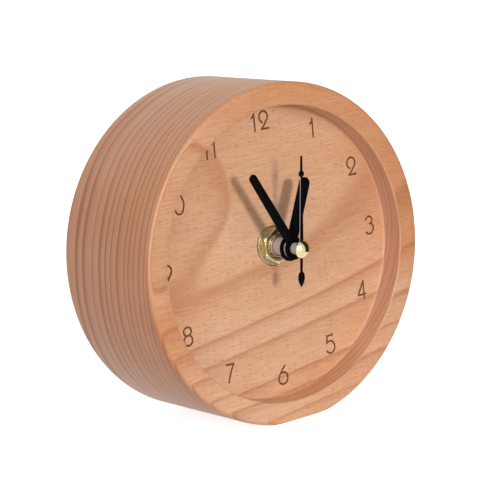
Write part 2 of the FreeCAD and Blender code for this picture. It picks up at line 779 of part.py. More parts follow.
post_side = "half_inner - plate_margin - plate_post_radius"
post_low = "divider_top + plate_margin + plate_post_radius"
post_high = "train_rise - plate_margin - plate_post_radius"
post_places = [
    (f"0 - ({post_side})", post_high),
    (post_side, post_high),
    (f"0 - ({post_side})", post_low),
    (post_side, post_low),
]


def make_plate():
    """Middle plate that carries the train's front pivots and the motor."""
    plate = new_body("middle_plate")
    sketch = new_sketch(plate, "plate_outline", "plate_back")
    side = "half_inner - plate_margin"
    draw_box(sketch, f"0 - ({side})", side, "divider_top + plate_margin", "train_rise - plate_margin")
    add_pad(plate, sketch, "plate_pad", "plate_thickness")
    sketch = new_sketch(plate, "stator_posts", "stator_front")
    for place, (right, up) in enumerate(stator_post_places):
        draw_circle(sketch, right, up, "boss_radius", f"stator_post_{place}")
    add_pad(plate, sketch, "stator_posts_pad", "stator_front - plate_back")
    sketch = new_sketch(plate, "board_posts", "board_front")
    for place, (right, up) in enumerate(board_post_places):
        draw_circle(sketch, right, up, "boss_radius", f"board_post_{place}")
    add_pad(plate, sketch, "board_posts_pad", "board_front - plate_back")
    sketch = new_sketch(plate, "journal_hole", "plate_front")
    draw_circle(sketch, "0", "0", "journal_radius + running_gap", "journal")
    draw_circle(sketch, "setting_right", "setting_up", "setting_arbor_radius + running_gap", "setting")
    cut_pocket(plate, sketch, "journal_hole_pocket", "plate_thickness")
    sketch = new_sketch(plate, "pivot_holes", "plate_front")
    for name in ("third", "middle", "rotor"):
        draw_circle(sketch, name + "_right", name + "_up", "pivot_radius + pivot_gap", name + "_pivot")
    cut_pocket(plate, sketch, "pivot_holes_pocket", "plate_thickness")
    put(plate, "0", "shaft_up")
    return plate


stator_left = "(coil_right - coil_length / 2 - core_end / 2)"
stator_right = "(coil_right + coil_length / 2 + core_end / 2)"
stator_post_places = [(stator_left, "coil_up"), (stator_right, "coil_up")]
board_post_places = [
    ("board_right - board_width / 4", "board_up"),
    ("board_right + board_width / 4", "board_up"),
]


def make_cover():
    """Back cover of the train, with bearings for the back pivots."""
    cover = new_body("movement_back_cover")
    sketch = new_sketch(cover, "cover_outline", "move_back")
    draw_box(sketch, "0 - half_width", "half_width", "divider_top - shell_wall / 2", "outer_high")
    add_pad(cover, sketch, "cover_pad", "cover_thickness")
    round_edges(cover, "cover_corners", "movement_corner",
                lambda edge: corner_edges(edge) and edge.BoundBox.Center.z > 0)
    sketch = new_sketch(cover, "bearing_bosses", "cover_front")
    for name, right, up in bearing_places:
        draw_circle(sketch, right, up, "boss_radius", name + "_boss")
    add_pad(cover, sketch, "bearing_bosses_pad", "shell_boss_height")
    sketch = new_sketch(cover, "cover_clips", "cover_front")
    inner = "half_inner - plate_margin / 2"
    half_clip = "cover_clip_width / 2"
    for place, level in enumerate(clip_levels):
        for side, (left, right) in enumerate((
            (f"0 - ({inner})", f"0 - ({inner}) + cover_clip_thickness"),
            (f"{inner} - cover_clip_thickness", inner),
        )):
            name = f"clip_{place}_{side}"
            draw_box(sketch, left, right, f"{level} - {half_clip}", f"{level} + {half_clip}", name)
    add_pad(cover, sketch, "cover_clips_pad", "cover_clip_depth")
    sketch = new_sketch(cover, "bearing_holes", "boss_front")
    for name, right, up in bearing_places:
        draw_circle(sketch, right, up, "pivot_radius + pivot_gap", name + "_bearing")
    cut_pocket(cover, sketch, "bearing_holes_pocket", "bearing_depth + turning_gap")
    sketch = new_sketch(cover, "knob_hole", "cover_front")
    draw_circle(sketch, "setting_right", "setting_up", "setting_arbor_radius + running_gap")
    cut_pocket(cover, sketch, "knob_hole_pocket", "cover_thickness")
    put(cover, "0", "shaft_up")
    return cover


bearing_places = [
    ("centre", "0", "0"),
    ("third", "third_right", "third_up"),
    ("middle", "middle_right", "middle_up"),
    ("rotor", "rotor_right", "rotor_up"),
]
clip_levels = ["train_rise / 2", "0 - train_rise / 8"]


# Battery and contacts

def make_battery():
    end = "battery_length / 2"
    shoulder = f"{end} - battery_button_length"
    body = new_body("aa_battery")
    sketch = body.newObject("Sketcher::SketchObject", "battery_profile")
    sketch.AttachmentSupport = [(origin_plane(body, "XY_Plane"), "")]
    sketch.MapMode = "FlatFace"
    draw_polygon(sketch, [
        (f"0 - {end}", "0"),
        (f"0 - {end}", "battery_radius - battery_edge_round"),
        (f"0 - {end} + battery_edge_round", "battery_radius"),
        (f"{shoulder} - battery_edge_round", "battery_radius"),
        (shoulder, "battery_radius - battery_edge_round"),
        (shoulder, "battery_button_radius"),
        (end, "battery_button_radius"),
        (end, "0"),
    ])
    turn = body.newObject("PartDesign::Revolution", "battery_turning")
    turn.Profile = sketch
    turn.ReferenceAxis = (sketch, ["H_Axis"])
    turn.Angle = full_turn
    body.setExpression("Placement.Base.y", formula("battery_deep"))
    body.setExpression("Placement.Base.z", formula("shaft_up + battery_up"))
    doc.recompute()
    return body


def make_contacts():
    """Sheet contacts at the battery's ends, each with a lead up to the board."""
    end = "battery_length / 2"
    half = "contact_width / 2"
    wall = "bay_half"
    face = f"({wall} - contact_sheet)"
    low = f"battery_up - {half}"
    high = f"battery_up + {half}"
    front = f"battery_deep - {half}"
    back = f"battery_deep + {half}"
    lead = ("lead_front", "lead_back")
    top = "train_rise - contact_wall_gap"
    plus = box(face, wall, front, back, low, high)
    dimple = box(end, face, "battery_deep - battery_button_radius", "battery_deep + battery_button_radius",
                 "battery_up - contact_lead_width / 2", "battery_up + contact_lead_width / 2")
    riser = box(face, wall, *lead, high, top)
    landing_right = "board_right_edge - contact_overlap"
    crossing = box(landing_right, wall, *lead, f"{top} - contact_sheet", top)
    landing = box(f"{landing_right} - contact_lead_width", landing_right,
                  "board_back", "board_back + contact_sheet", "board_high - contact_overlap", top)
    positive = feature("positive_contact", plus.fuse([dimple, riser, crossing, landing]).removeSplitter())
    backing = box(f"0 - {wall}", f"0 - {face}", front, back, low, high)
    leaf_points = [
        (f"0 - {face}", front),
        (f"0 - {face}", f"{front} + contact_sheet"),
        (f"0 - {end} - contact_sheet", "battery_deep"),
        (f"0 - {face}", f"{back} - contact_sheet"),
        (f"0 - {face}", back),
        (f"0 - {end}", "battery_deep"),
    ]
    leaf_low = val("battery_up - contact_lead_width")
    leaf_width = val("2 * contact_lead_width")
    corners = [Vector(val(right), val(deep), leaf_low) for right, deep in leaf_points]
    leaf = Part.Face(Part.makePolygon(corners + corners[:1])).extrude(Vector(0, 0, leaf_width))
    riser = box(f"0 - {wall}", f"0 - {face}", *lead, high, "board_up")
    landing = box(f"0 - {wall}", "board_left_edge + contact_overlap",
                  "board_back", "board_back + contact_sheet",
                  "board_up - contact_lead_width", "board_up")
    negative = feature("negative_contact", backing.fuse([leaf, riser, landing]).removeSplitter())
    return [positive, negative]


# Hands

def blade_face(points, depth):
    corners = [Vector(right, val(depth), up) for right, up in points]
    return Part.Face(Part.makePolygon(corners + corners[:1]))


def bar_hand(label, length, root_width, end_width, hub, back, bore, angle, collar=None):
    """A flat bar with a round end and a round hub, and a collar behind some."""
    half_root = val(root_width) / 2
    half_end = val(end_width) / 2
    reach = val(length) - half_end
    sheet_back = Vector(0, val("hand_sheet"), 0)
    front = f"{back} - hand_sheet"
    bar = blade_face([(-half_root, 0), (half_root, 0), (half_end, reach), (-half_end, reach)], front)
    solid = bar.extrude(sheet_back)
    tip = Vector(0, val(front), reach)
    solid = solid.fuse(Part.makeCylinder(half_end, val("hand_sheet"), tip, Vector(0, 1, 0)))
    solid = solid.fuse(cylinder(hub, front, back))
    reach_back = back
    if collar:
        radius, length = collar
        reach_back = f"{back} + {length}"
        solid = solid.fuse(cylinder(radius, back, reach_back))
    solid = solid.cut(cylinder(f"{bore} + hand_press_gap", f"{front} - overrun", f"{reach_back} + overrun"))
    return feature(label, solid.removeSplitter(), turn=angle)


def make_second_hand():
    """A needle with a bead, and a tail that ends in a spade."""
    sheet_back = Vector(0, val("second_hand_sheet"), 0)
    front = "second_hand_front"
    root = val("second_hand_root_width") / 2
    tip = val("second_hand_end_width") / 2
    tail = val("second_hand_tail_width") / 2
    spade = val("second_hand_spade_width") / 2
    start = -val("second_hand_spade_start")
    middle = -val("second_hand_spade_middle")
    end = -val("second_hand_tail")
    outline = [
        (-tail, start), (-tail, -root), (-root, 0), (-tip, val("second_hand_length")),
        (tip, val("second_hand_length")), (root, 0), (tail, -root), (tail, start),
        (spade, middle), (0, end), (-spade, middle),
    ]
    solid = blade_face(outline, front).extrude(sheet_back)
    bead = cylinder("second_hand_bead_radius", front, "second_hand_back", "0", "second_hand_bead_place")
    disc = cylinder("second_hand_hub_radius", front, "second_hand_back")
    solid = solid.fuse([bead, disc])
    solid = solid.cut(cylinder("cap_shank_radius + hand_press_gap", front + " - overrun",
                               "second_hand_back + overrun"))
    return feature("second_hand", solid.removeSplitter(), turn="second_hand_angle")


def make_cap():
    """Brass button in front of the second hand, with a shank through it."""
    rim_front = "second_hand_front - cap_rim"
    radius = val("cap_radius")
    dome = val("cap_dome")
    top = Vector(0, val(rim_front) - dome, 0)
    edge = Vector(radius, val(rim_front), 0)
    ball = (radius ** 2 + dome ** 2) / (2 * dome)
    centre = val(rim_front) - dome + ball
    lean = math.asin(radius / ball) / 2
    halfway = Vector(ball * math.sin(lean), centre - ball * math.cos(lean), 0)
    base = Vector(radius, val("second_hand_front"), 0)
    middle = Vector(0, val("second_hand_front"), 0)
    edges = [
        Part.Arc(top, halfway, edge).toShape(),
        Part.makeLine(edge, base),
        Part.makeLine(base, middle),
        Part.makeLine(middle, top),
    ]
    solid = Part.Face(Part.Wire(edges)).revolve(Vector(0, 0, 0), Vector(0, 1, 0), full_turn)
    shank_end = "second_hand_back + cap_shank_stand"
    shank = cylinder("cap_shank_radius", "second_hand_front", shank_end)
    socket = cylinder("second_arbor_radius + hand_press_gap", "second_hand_front - cap_rim",
                      shank_end + " + overrun")
    return feature("second_hand_cap", solid.fuse(shank).cut(socket).removeSplitter())


# Wheels on the shaft axis

def phase_of(name):
    """Direction of each wheel's first tooth, so that all are in mesh at rest."""
    motion_way = math.radians(val("motion_angle"))
    setting_way = math.radians(val("setting_angle"))
    third_way = math.radians(val("third_angle"))
    middle_way = math.radians(val("middle_angle"))
    rotor_way = math.radians(val("rotor_angle"))
    if name == "motion":
        return meshing_phase("minute_pinion_teeth", 0, motion_way, "motion_teeth")
    if name == "setting":
        return meshing_phase("motion_teeth", phase_of("motion"), setting_way, "setting_teeth")
    if name == "motion_pinion":
        return meshing_phase("hour_teeth", 0, motion_way, "motion_pinion_teeth")
    if name == "third":
        return meshing_phase("second_pinion_teeth", 0, third_way, "third_teeth")
    if name == "third_pinion":
        return meshing_phase("centre_teeth", 0, third_way, "third_pinion_teeth")
    if name == "middle_pinion":
        return meshing_phase("second_teeth", 0, middle_way, "middle_pinion_teeth")
    if name == "rotor":
        return meshing_phase("middle_teeth", 0, rotor_way, "rotor_teeth")
    return 0


def make_hour_wheel():
    disc = toothed("hour_teeth", "hour_module", "hour_front", "hour_back", 0, wheel_tooth_shares)
    tube = cylinder("hour_tube_radius", "hour_hand_front", "hour_back")
    bore = cylinder("minute_tube_radius + running_gap", "hour_hand_front - overrun", "hour_back + overrun")
    return feature("hour_wheel", disc.fuse(tube).cut(bore).removeSplitter())


def make_minute_arbor():
    """Tube with the minute pinion, a journal and a seat for the slipping wheel."""
    pinion = toothed("minute_pinion_teeth", "minute_module", "minute_pinion_front", "minute_pinion_back", 0,
                     pinion_leaf_shares)
    tube = cylinder("minute_tube_radius", "minute_tube_end", "journal_front")
    journal = cylinder("journal_radius", "journal_front", "journal_back")
    seat = cylinder("clutch_seat_radius", "journal_back", "clutch_back")
    bore = cylinder("second_arbor_radius + running_gap", "minute_tube_end - overrun",
                    "clutch_back + overrun")
    solid = pinion.fuse([tube, journal, seat]).cut(bore).removeSplitter()
    return feature("minute_arbor", solid)


def make_centre_wheel():
    disc = toothed("centre_teeth", "centre_module", "centre_front", "centre_back", 0, wheel_tooth_shares)
    bore = cylinder("clutch_seat_radius + pivot_gap", "centre_front - overrun", "centre_back + overrun")
    return feature("centre_wheel", disc.cut(bore))


clutch_arms = 3


def make_clutch_spring():
    """Spring washer with arms that press the centre wheel on its arbor."""
    ring = cylinder("clutch_seat_radius + hub_wall", "clutch_front", "clutch_back")
    arms = []
    for place in range(clutch_arms):
        arm = box("0 - hub_wall / 2", "hub_wall / 2", "clutch_front", "clutch_back",
                  "clutch_seat_radius", "clutch_radius")
        arm.rotate(Vector(0, 0, 0), Vector(0, 1, 0), place * full_turn / clutch_arms)
        arms.append(arm)
    bore = cylinder("clutch_seat_radius", "clutch_front - overrun", "clutch_back + overrun")
    return feature("clutch_spring", ring.fuse(arms).cut(bore).removeSplitter())


def make_seconds():
    wheel = toothed("second_teeth", "second_module", "second_front", "second_back", 0, wheel_tooth_shares)
    pinion = toothed("second_pinion_teeth", "third_module", "second_pinion_front", "second_front", 0,
                     pinion_leaf_shares)
    hub_back = "second_back + hub_wall"
    hub = cylinder("second_arbor_radius + hub_wall", "second_back", hub_back)
    bore = cylinder("second_arbor_radius", "second_pinion_front - overrun", f"{hub_back} + overrun")
    wheel = feature("seconds_wheel", wheel.fuse([pinion, hub]).cut(bore).removeSplitter())
    rod = cylinder("second_arbor_radius", "second_hand_front - cap_rim", "boss_front - turning_gap")
    pivot = cylinder("pivot_radius", "boss_front - turning_gap", "pivot_back")
    arbor = feature("seconds_arbor", rod.fuse(pivot).removeSplitter())
    return [wheel, arbor]


def make_third_wheel():
    wheel = toothed("third_teeth", "third_module", "third_front", "third_back", phase_of("third"),
                    wheel_tooth_shares)
    pinion = toothed("third_pinion_teeth", "centre_module", "third_pinion_front", "third_front",
                     phase_of("third_pinion"), pinion_leaf_shares)
    rod = cylinder("arbor_radius", "third_back", "boss_front - turning_gap")
    front_pivot = cylinder("pivot_radius", "plate_front", "third_pinion_front")
    back_pivot = cylinder("pivot_radius", "boss_front - turning_gap", "pivot_back")
    solid = wheel.fuse([pinion, rod, front_pivot, back_pivot]).removeSplitter()
    return feature("third_wheel", solid, "third_right", "shaft_up + third_up")


def make_middle_wheel():
    wheel = toothed("middle_teeth", "rotor_module", "middle_front", "middle_back", 0, wheel_tooth_shares)
    pinion = toothed("middle_pinion_teeth", "second_module", "middle_pinion_front", "middle_front",
                     phase_of("middle_pinion"), pinion_leaf_shares)
    front_rod = cylinder("arbor_radius", "plate_back + turning_gap", "middle_pinion_front")
    front_pivot = cylinder("pivot_radius", "plate_front", "plate_back + turning_gap")
    rod = cylinder("arbor_radius", "middle_back", "boss_front - turning_gap")
    back_pivot = cylinder("pivot_radius", "boss_front - turning_gap", "pivot_back")
    solid = wheel.fuse([pinion, front_rod, front_pivot, rod, back_pivot]).removeSplitter()
    return feature("intermediate_wheel", solid, "middle_right", "shaft_up + middle_up")


def make_rotor():
    pinion = toothed("rotor_teeth", "rotor_module", "rotor_pinion_front", "rotor_pinion_back",
                     phase_of("rotor"), pinion_leaf_shares)
    core = cylinder("arbor_radius", "plate_back + turning_gap", "boss_front - turning_gap")
    front_pivot = cylinder("pivot_radius", "plate_front", "plate_back + turning_gap")
    back_pivot = cylinder("pivot_radius", "boss_front - turning_gap", "pivot_back")
    shaft = pinion.fuse([core, front_pivot, back_pivot]).removeSplitter()
    rotor = feature("rotor_pinion", shaft, "rotor_right", "shaft_up + rotor_up")
    ring = cylinder("magnet_radius", "magnet_front", "magnet_back")
    bore = cylinder("arbor_radius", "magnet_front - overrun", "magnet_back + overrun")
    magnet = feature("rotor_magnet", ring.cut(bore), "rotor_right", "shaft_up + rotor_up")
    return [rotor, magnet]


def make_motion_wheel():
    wheel = toothed("motion_teeth", "minute_module", "motion_front", "motion_back", phase_of("motion"),
                    wheel_tooth_shares)
    pinion = toothed("motion_pinion_teeth", "hour_module", "motion_pinion_front", "motion_front",
                     phase_of("motion_pinion"), pinion_leaf_shares)
    bore = cylinder("stud_radius + pivot_gap", "motion_pinion_front - overrun", "motion_back + overrun")
    solid = wheel.fuse(pinion).cut(bore).removeSplitter()
    return feature("motion_wheel", solid, "motion_right", "shaft_up + motion_up")


def make_setting():
    """Arbor whose pinion turns the motion wheel, and a fluted knob pressed on it."""
    nose = cylinder("stud_radius", "inner_front + shell_boss_height / 2", "minute_pinion_front")
    pinion = toothed("setting_teeth", "minute_module", "minute_pinion_front", "minute_pinion_back",
                     phase_of("setting"), pinion_leaf_shares)
    knob_front = "move_back + turning_gap"
    arbor_end = f"{knob_front} + setting_arbor_stand"
    rod = cylinder("setting_arbor_radius", "minute_pinion_back", arbor_end)
    arbor = feature("setting_arbor", pinion.fuse([nose, rod]).removeSplitter(), "setting_right",
                    "shaft_up + setting_up")
    knob = cylinder("setting_knob_radius", knob_front, f"{knob_front} + setting_knob_depth")
    cutters = [cylinder("setting_arbor_radius", f"{knob_front} - overrun", arbor_end)]
    count = round(val("setting_knob_flutes"))
    for place in range(count):
        angle = 2 * math.pi * place / count
        middle = Vector(math.cos(angle), 0, math.sin(angle)) * val("setting_knob_radius")
        middle.y = val(knob_front) - val("overrun")
        length = val("setting_knob_depth + 2 * overrun")
        cutters.append(Part.makeCylinder(val("setting_flute_radius"), length, middle, Vector(0, 1, 0)))
    return [arbor, feature("setting_knob", knob.cut(cutters), "setting_right", "shaft_up + setting_up")]


# Motor and circuit

def make_stator():
    """Soft-iron plate round the rotor, with two bent arms to the coil's core."""
    depth = ("stator_front", "stator_back")
    ring = cylinder("magnet_radius + magnet_gap + stator_ring", *depth, "rotor_right", "rotor_up")
    half = val("stator_arm_width") / 2
    front = val("stator_front")
    hub = Vector(val("rotor_right"), front, val("rotor_up"))
    knee_up = val("coil_up - bobbin_flange_radius - stator_arm_width / 2")
    parts = []
    for right in (stator_left, stator_right):
        knee = Vector(val(right), front, knee_up)
        foot = Vector(val(right), front, val("coil_up"))
        for start, end in ((hub, knee), (knee, foot)):
            side = (end - start).normalize().cross(Vector(0, 1, 0)) * half
            corners = [start + side, end + side, end - side, start - side]
            bar = Part.Face(Part.makePolygon(corners + corners[:1]))
            parts.append(bar.extrude(Vector(0, val("stator_thickness"), 0)))
            parts.append(Part.makeCylinder(half, val("stator_thickness"), end, Vector(0, 1, 0)))
    hole = cylinder("magnet_radius + magnet_gap", "stator_front - overrun", "stator_back + overrun",
                    "rotor_right", "rotor_up")
    return feature("stator_plate", ring.fuse(parts).cut(hole).removeSplitter())


def along_coil(radius, left, right):
    start = Vector(val(left), val("coil_deep"), val("coil_up"))
    return Part.makeCylinder(val(radius), val(f"({right}) - ({left})"), start, Vector(1, 0, 0))


def make_coil():
    left = "coil_right - coil_length / 2"
    right = "coil_right + coil_length / 2"
    inner_left = left + " + bobbin_flange_thickness"
    inner_right = right + " - bobbin_flange_thickness"
    core_half = "core_width / 2"
    core = box(f"{left} - core_end", f"{right} + core_end", "stator_back", "core_back",
               f"coil_up - {core_half}", f"coil_up + {core_half}")
    spool = along_coil("coil_former_radius", left, right)
    flanges = [
        along_coil("bobbin_flange_radius", left, inner_left),
        along_coil("bobbin_flange_radius", inner_right, right),
    ]
    spool = spool.fuse(flanges).cut(core)
    winding = along_coil("coil_radius", inner_left, inner_right).cut(
        along_coil("coil_former_radius", inner_left, inner_right))
    return [
        feature("coil_core", core),
        feature("coil_bobbin", spool.removeSplitter()),
        feature("coil_winding", winding),
    ]


def make_circuit():
    panel = box("board_left_edge", "board_right_edge", "board_front", "board_back",
                "board_low", "board_high")
    board = feature("circuit_board", panel)
    chip_right = "board_right - board_width / 4"
    drop = cylinder("chip_radius", "board_back", "board_back + chip_height", chip_right, "board_up")
    chip = feature("clock_chip", drop)
    deep = val("board_back + crystal_radius")
    start = Vector(val("board_right"), deep, val("board_up"))
    can = Part.makeCylinder(val("crystal_radius"), val("crystal_length"), start, Vector(1, 0, 0))
    neck_start = start - Vector(val("crystal_radius"), 0, 0)
    neck = Part.makeCylinder(val("crystal_neck_radius"), val("crystal_radius"), neck_start, Vector(1, 0, 0))
    crystal = feature("quartz_crystal", can.fuse(neck).removeSplitter())
    return [board, chip, crystal]


pieces = [make_case()]
pieces += make_fixing()
pieces += [make_shell(), make_plate(), make_cover(), make_battery()]
pieces += make_contacts()
pieces.append(bar_hand(
    "hour_hand", "hour_hand_length", "hour_hand_width", "hour_hand_width", "hour_hub_radius",
    "hour_hand_back", "hour_tube_radius", "hour_hand_angle"))
pieces.append(bar_hand(
    "minute_hand", "minute_hand_length", "minute_hand_width", "minute_hand_end_width", "minute_hub_radius",
    "minute_hand_back", "minute_tube_radius", "minute_hand_angle",
    ("minute_collar_radius", "minute_collar_length")))
pieces += [make_second_hand(), make_cap(), make_hour_wheel(), make_minute_arbor(), make_centre_wheel()]
pieces += [make_clutch_spring()]
pieces += make_seconds()
pieces += [make_third_wheel(), make_middle_wheel()]
pieces += make_rotor()
pieces += [make_motion_wheel()]
pieces += make_setting()
pieces += [make_stator()]
pieces += make_coil()
pieces += make_circuit()
doc.recompute()

# Checks before anything is written
for item in doc.Objects:
    if "Invalid" in item.State or "Error" in item.State:
        raise RuntimeError(f"{item.Label} failed: {item.State}")
for piece in pieces:
    if piece.Shape.isNull() or not piece.Shape.isValid():
        raise RuntimeError(f"{piece.Label} has no valid shape")
    solids = len(piece.Shape.Solids)
    print(f"{piece.Label}: {solids} solid, {piece.Shape.Volume:.1f} cubic mm")
    if solids != 1:
        raise RuntimeError(f"{piece.Label} is not one solid")
    piece.Shape.exportStep(f"parts/{piece.Label}.step")
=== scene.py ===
# %% [markdown]
# A wooden desk clock, dressed for a picture. The frame holds every part of the clock as a fixed solid at
# its real size and place. This notebook gives each one its finish, and makes again in fine mesh the
# parts that the eye reaches: the turned case, the brass fixing, the hands and the black movement behind.

# %% Load the fixed frame
import json
import math

import bmesh
import bpy
from mathutils import Matrix, Vector


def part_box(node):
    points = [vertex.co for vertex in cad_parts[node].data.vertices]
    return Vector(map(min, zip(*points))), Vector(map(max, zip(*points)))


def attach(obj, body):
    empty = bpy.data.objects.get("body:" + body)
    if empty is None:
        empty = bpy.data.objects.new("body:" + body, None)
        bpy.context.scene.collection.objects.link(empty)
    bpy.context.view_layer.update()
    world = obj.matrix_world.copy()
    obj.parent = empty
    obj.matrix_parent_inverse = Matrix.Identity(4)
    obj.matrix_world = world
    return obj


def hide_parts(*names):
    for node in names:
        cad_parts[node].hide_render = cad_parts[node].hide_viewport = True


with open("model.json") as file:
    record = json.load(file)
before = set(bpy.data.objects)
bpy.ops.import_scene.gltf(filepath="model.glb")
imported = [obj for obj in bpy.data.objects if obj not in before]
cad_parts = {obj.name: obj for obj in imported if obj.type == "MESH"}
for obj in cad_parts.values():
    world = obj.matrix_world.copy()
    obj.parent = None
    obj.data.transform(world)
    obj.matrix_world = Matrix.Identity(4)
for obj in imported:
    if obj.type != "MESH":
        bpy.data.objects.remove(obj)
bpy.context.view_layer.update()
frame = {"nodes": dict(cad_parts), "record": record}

body_of = {node: body for body, nodes in frame["record"]["behaviour"]["bodies"].items() for node in nodes}
scene = bpy.context.scene
mm = 0.001
print("nodes in the frame:", len(frame["nodes"]))

# %% [markdown]
# A photograph is matched by its camera first. The lens here is long, so the round rim hardly narrows
# towards the back. The view is written as a turn round the clock, a rise above the table, a small roll
# and a distance, which are easier to adjust than a matrix.

# %% Camera
camera_turn = math.radians(-37.35)
camera_rise = math.radians(11.29)
camera_roll = math.radians(5.37)
camera_distance = 757 * mm
camera_aim = Vector((-9.85, -15.57, 59.04)) * mm
camera_lens = 164.03
sensor_width = 36


def aim_matrix(turn, rise, roll=0):
    """Axes of a camera that looks back at the clock from a turn and a rise, then rolls about its view."""
    level = Matrix.Rotation(turn, 3, "Z") @ Matrix.Rotation(math.pi / 2 - rise, 3, "X")
    return level @ Matrix.Rotation(-roll, 3, "Z")


camera = bpy.data.objects.new("camera", bpy.data.cameras.new("camera"))
scene.collection.objects.link(camera)
camera.data.lens = camera_lens
camera.data.sensor_width = sensor_width
axes = aim_matrix(camera_turn, camera_rise, camera_roll)
camera.matrix_world = Matrix.Translation(camera_aim + axes.col[2] * camera_distance) @ axes.to_4x4()
scene.camera = camera
print("camera at", [round(value, 4) for value in camera.matrix_world.translation])

# %% [markdown]
# Node trees get long when each node takes five lines. One helper adds a node, sets its properties and
# fills its sockets, with plain values or with the outputs of nodes that exist already. Colours are
# written as a designer would pick them, in sRGB hex, and one function turns them into linear light.
# The nodes that most finishes need have a helper each, which gives back the node's result.

# %% Helpers for nodes and colours
def linear(hex_colour):
    """An sRGB hex colour as linear red, green, blue and alpha."""
    parts = [int(hex_colour[place:place + 2], 16) / 255 for place in (1, 3, 5)]
    light = [part / 12.92 if part <= 0.04045 else ((part + 0.055) / 1.055) ** 2.4 for part in parts]
    return (*light, 1)


def fill(tree, node, sockets):
    """Give a node's sockets plain values, hex colours, outputs or lists of outputs."""
    for name, value in sockets.items():
        for each in value if isinstance(value, list) else [value]:
            if isinstance(each, bpy.types.NodeSocket):
                tree.links.new(each, node.inputs[name])
            else:
                node.inputs[name].default_value = linear(each) if isinstance(each, str) else each


def add(tree, kind, sockets=None, **settings):
    """Add a node, with its settings and its sockets filled."""
    node = tree.nodes.new(kind)
    for name, value in settings.items():
        setattr(node, name, value)
    fill(tree, node, sockets or {})
    return node


def maths(tree, operation, *values):
    """The result of an operation on one, two or three numbers."""
    return add(tree, "ShaderNodeMath", dict(enumerate(values)), operation=operation).outputs[0]


def ranged(tree, value, start, end, low=0, high=1, shape="LINEAR"):
    """A value's way from start to end, as a number from low to high."""
    ends = {"Value": value, "From Min": start, "From Max": end, "To Min": low, "To Max": high}
    return add(tree, "ShaderNodeMapRange", ends, interpolation_type=shape).outputs[0]


def mixed(tree, share, first, second, blend="MIX"):
    """The first colour, with a share of the second mixed or multiplied in."""
    return add(tree, "ShaderNodeMix", {0: share, 6: first, 7: second}, data_type="RGBA",
               blend_type=blend).outputs[2]


def ramp(tree, value, stops):
    """Colours between stops, which are hex colours or grey levels by their positions."""
    node = add(tree, "ShaderNodeValToRGB", {0: value})
    elements = node.color_ramp.elements
    elements.remove(elements[1])
    for place, (position, colour) in enumerate(stops.items()):
        element = elements.new(position) if place else elements[0]
        element.position = position
        element.color = linear(colour) if isinstance(colour, str) else (colour, colour, colour, 1)
    return node.outputs[0]


def object_place(tree):
    """Each point's place in metres."""
    return add(tree, "ShaderNodeTexCoord").outputs["Object"]


def stretched(tree, place, length, width):
    """Places counted in lengths along X, and in widths across it."""
    scale = (1 / length, 1 / width, 1 / width)
    return add(tree, "ShaderNodeMapping", {"Vector": place, "Scale": scale}).outputs[0]


def noise(tree, place, size, detail=2, roughness=0.5):
    """Fractal noise with an even grain of one size, or with a grain of a length and a width."""
    if isinstance(size, tuple):
        place = stretched(tree, place, *size)
        size = 1
    sockets = {"Vector": place, "Scale": 1 / size, "Detail": detail, "Roughness": roughness}
    return add(tree, "ShaderNodeTexNoise", sockets).outputs[0]


def bumped(tree, strength, distance, height):
    """Normals of a surface with this relief."""
    sockets = {"Strength": strength, "Distance": distance, "Height": height}
    return add(tree, "ShaderNodeBump", sockets).outputs[0]


def new_material(name):
    """A material with a bare Principled shader, its tree and the shader."""
    material = bpy.data.materials.new(name)
    material.use_nodes = True
    tree = material.node_tree
    tree.nodes.clear()
    shader = add(tree, "ShaderNodeBsdfPrincipled")
    add(tree, "ShaderNodeOutputMaterial", {"Surface": shader.outputs[0]})
    return material, tree, shader


def seen_rays(tree):
    """One for the rays of the camera and of shiny or clear things, and zero for those that light."""
    rays = add(tree, "ShaderNodeLightPath").outputs
    seen = maths(tree, "MAXIMUM", rays["Is Camera Ray"], rays["Is Glossy Ray"])
    return maths(tree, "MAXIMUM", seen, rays["Is Transmission Ray"])


print("white is", linear("#FFFFFF"))

# %% [markdown]
# The studio has a soft lamp in front of the clock, a little above it, a wide weak one at its left, a
# weaker one overhead, and an even pale room. The front lamp gives over half of the dial's light, so
# the hands throw a deep shadow on the wood. The left one reaches the side wall and the recess, and the
# one overhead the upward parts of both. Sun lamps serve, because the real ones stand far off, and a
# sun's angle sets how soft its shadows are. Shiny surfaces see cards instead, which come below.

# %% Lamps and room
lamps = {
    "front_lamp": {"turn": -4, "rise": 8, "size": 10, "strength": 1.74},
    "left_lamp": {"turn": -72, "rise": 15, "size": 60, "strength": 0.78},
    "top_lamp": {"turn": -30, "rise": 70, "size": 80, "strength": 0.5},
}
room_strength = 0.38
seen_strength = 1.0

for name, facts in lamps.items():
    lamp = bpy.data.objects.new(name, bpy.data.lights.new(name, "SUN"))
    scene.collection.objects.link(lamp)
    lamp.data.energy = facts["strength"]
    lamp.data.angle = math.radians(facts["size"])
    lamp.visible_glossy = False
    lamp.matrix_world = aim_matrix(math.radians(facts["turn"]), math.radians(facts["rise"])).to_4x4()

scene.world = bpy.data.worlds.new("pale_room")
scene.world.use_nodes = True
tree = scene.world.node_tree
tree.nodes.clear()
lighting = add(tree, "ShaderNodeBackground", {"Color": "#FFFFFF", "Strength": room_strength})
backdrop = add(tree, "ShaderNodeBackground", {"Color": "#FFFFFF", "Strength": seen_strength})
shown = add(tree, "ShaderNodeMixShader", {0: seen_rays(tree), 1: lighting.outputs[0], 2: backdrop.outputs[0]})
add(tree, "ShaderNodeOutputWorld", {"Surface": shown.outputs[0]})
scene.view_settings.view_transform = "Standard"
print("lamps", list(lamps), "room strength", room_strength)

# %% [markdown]
# The clock stands on a white sheet that fills the picture. A white floor lit at this level would look
# grey, so it is lifted for the rays that the camera and shiny things send. The lift is added to the
# real shading and doesn't replace it, and so the soft shadow under the clock stays.

# %% Floor
floor_half = 12
floor_lift = 0.82

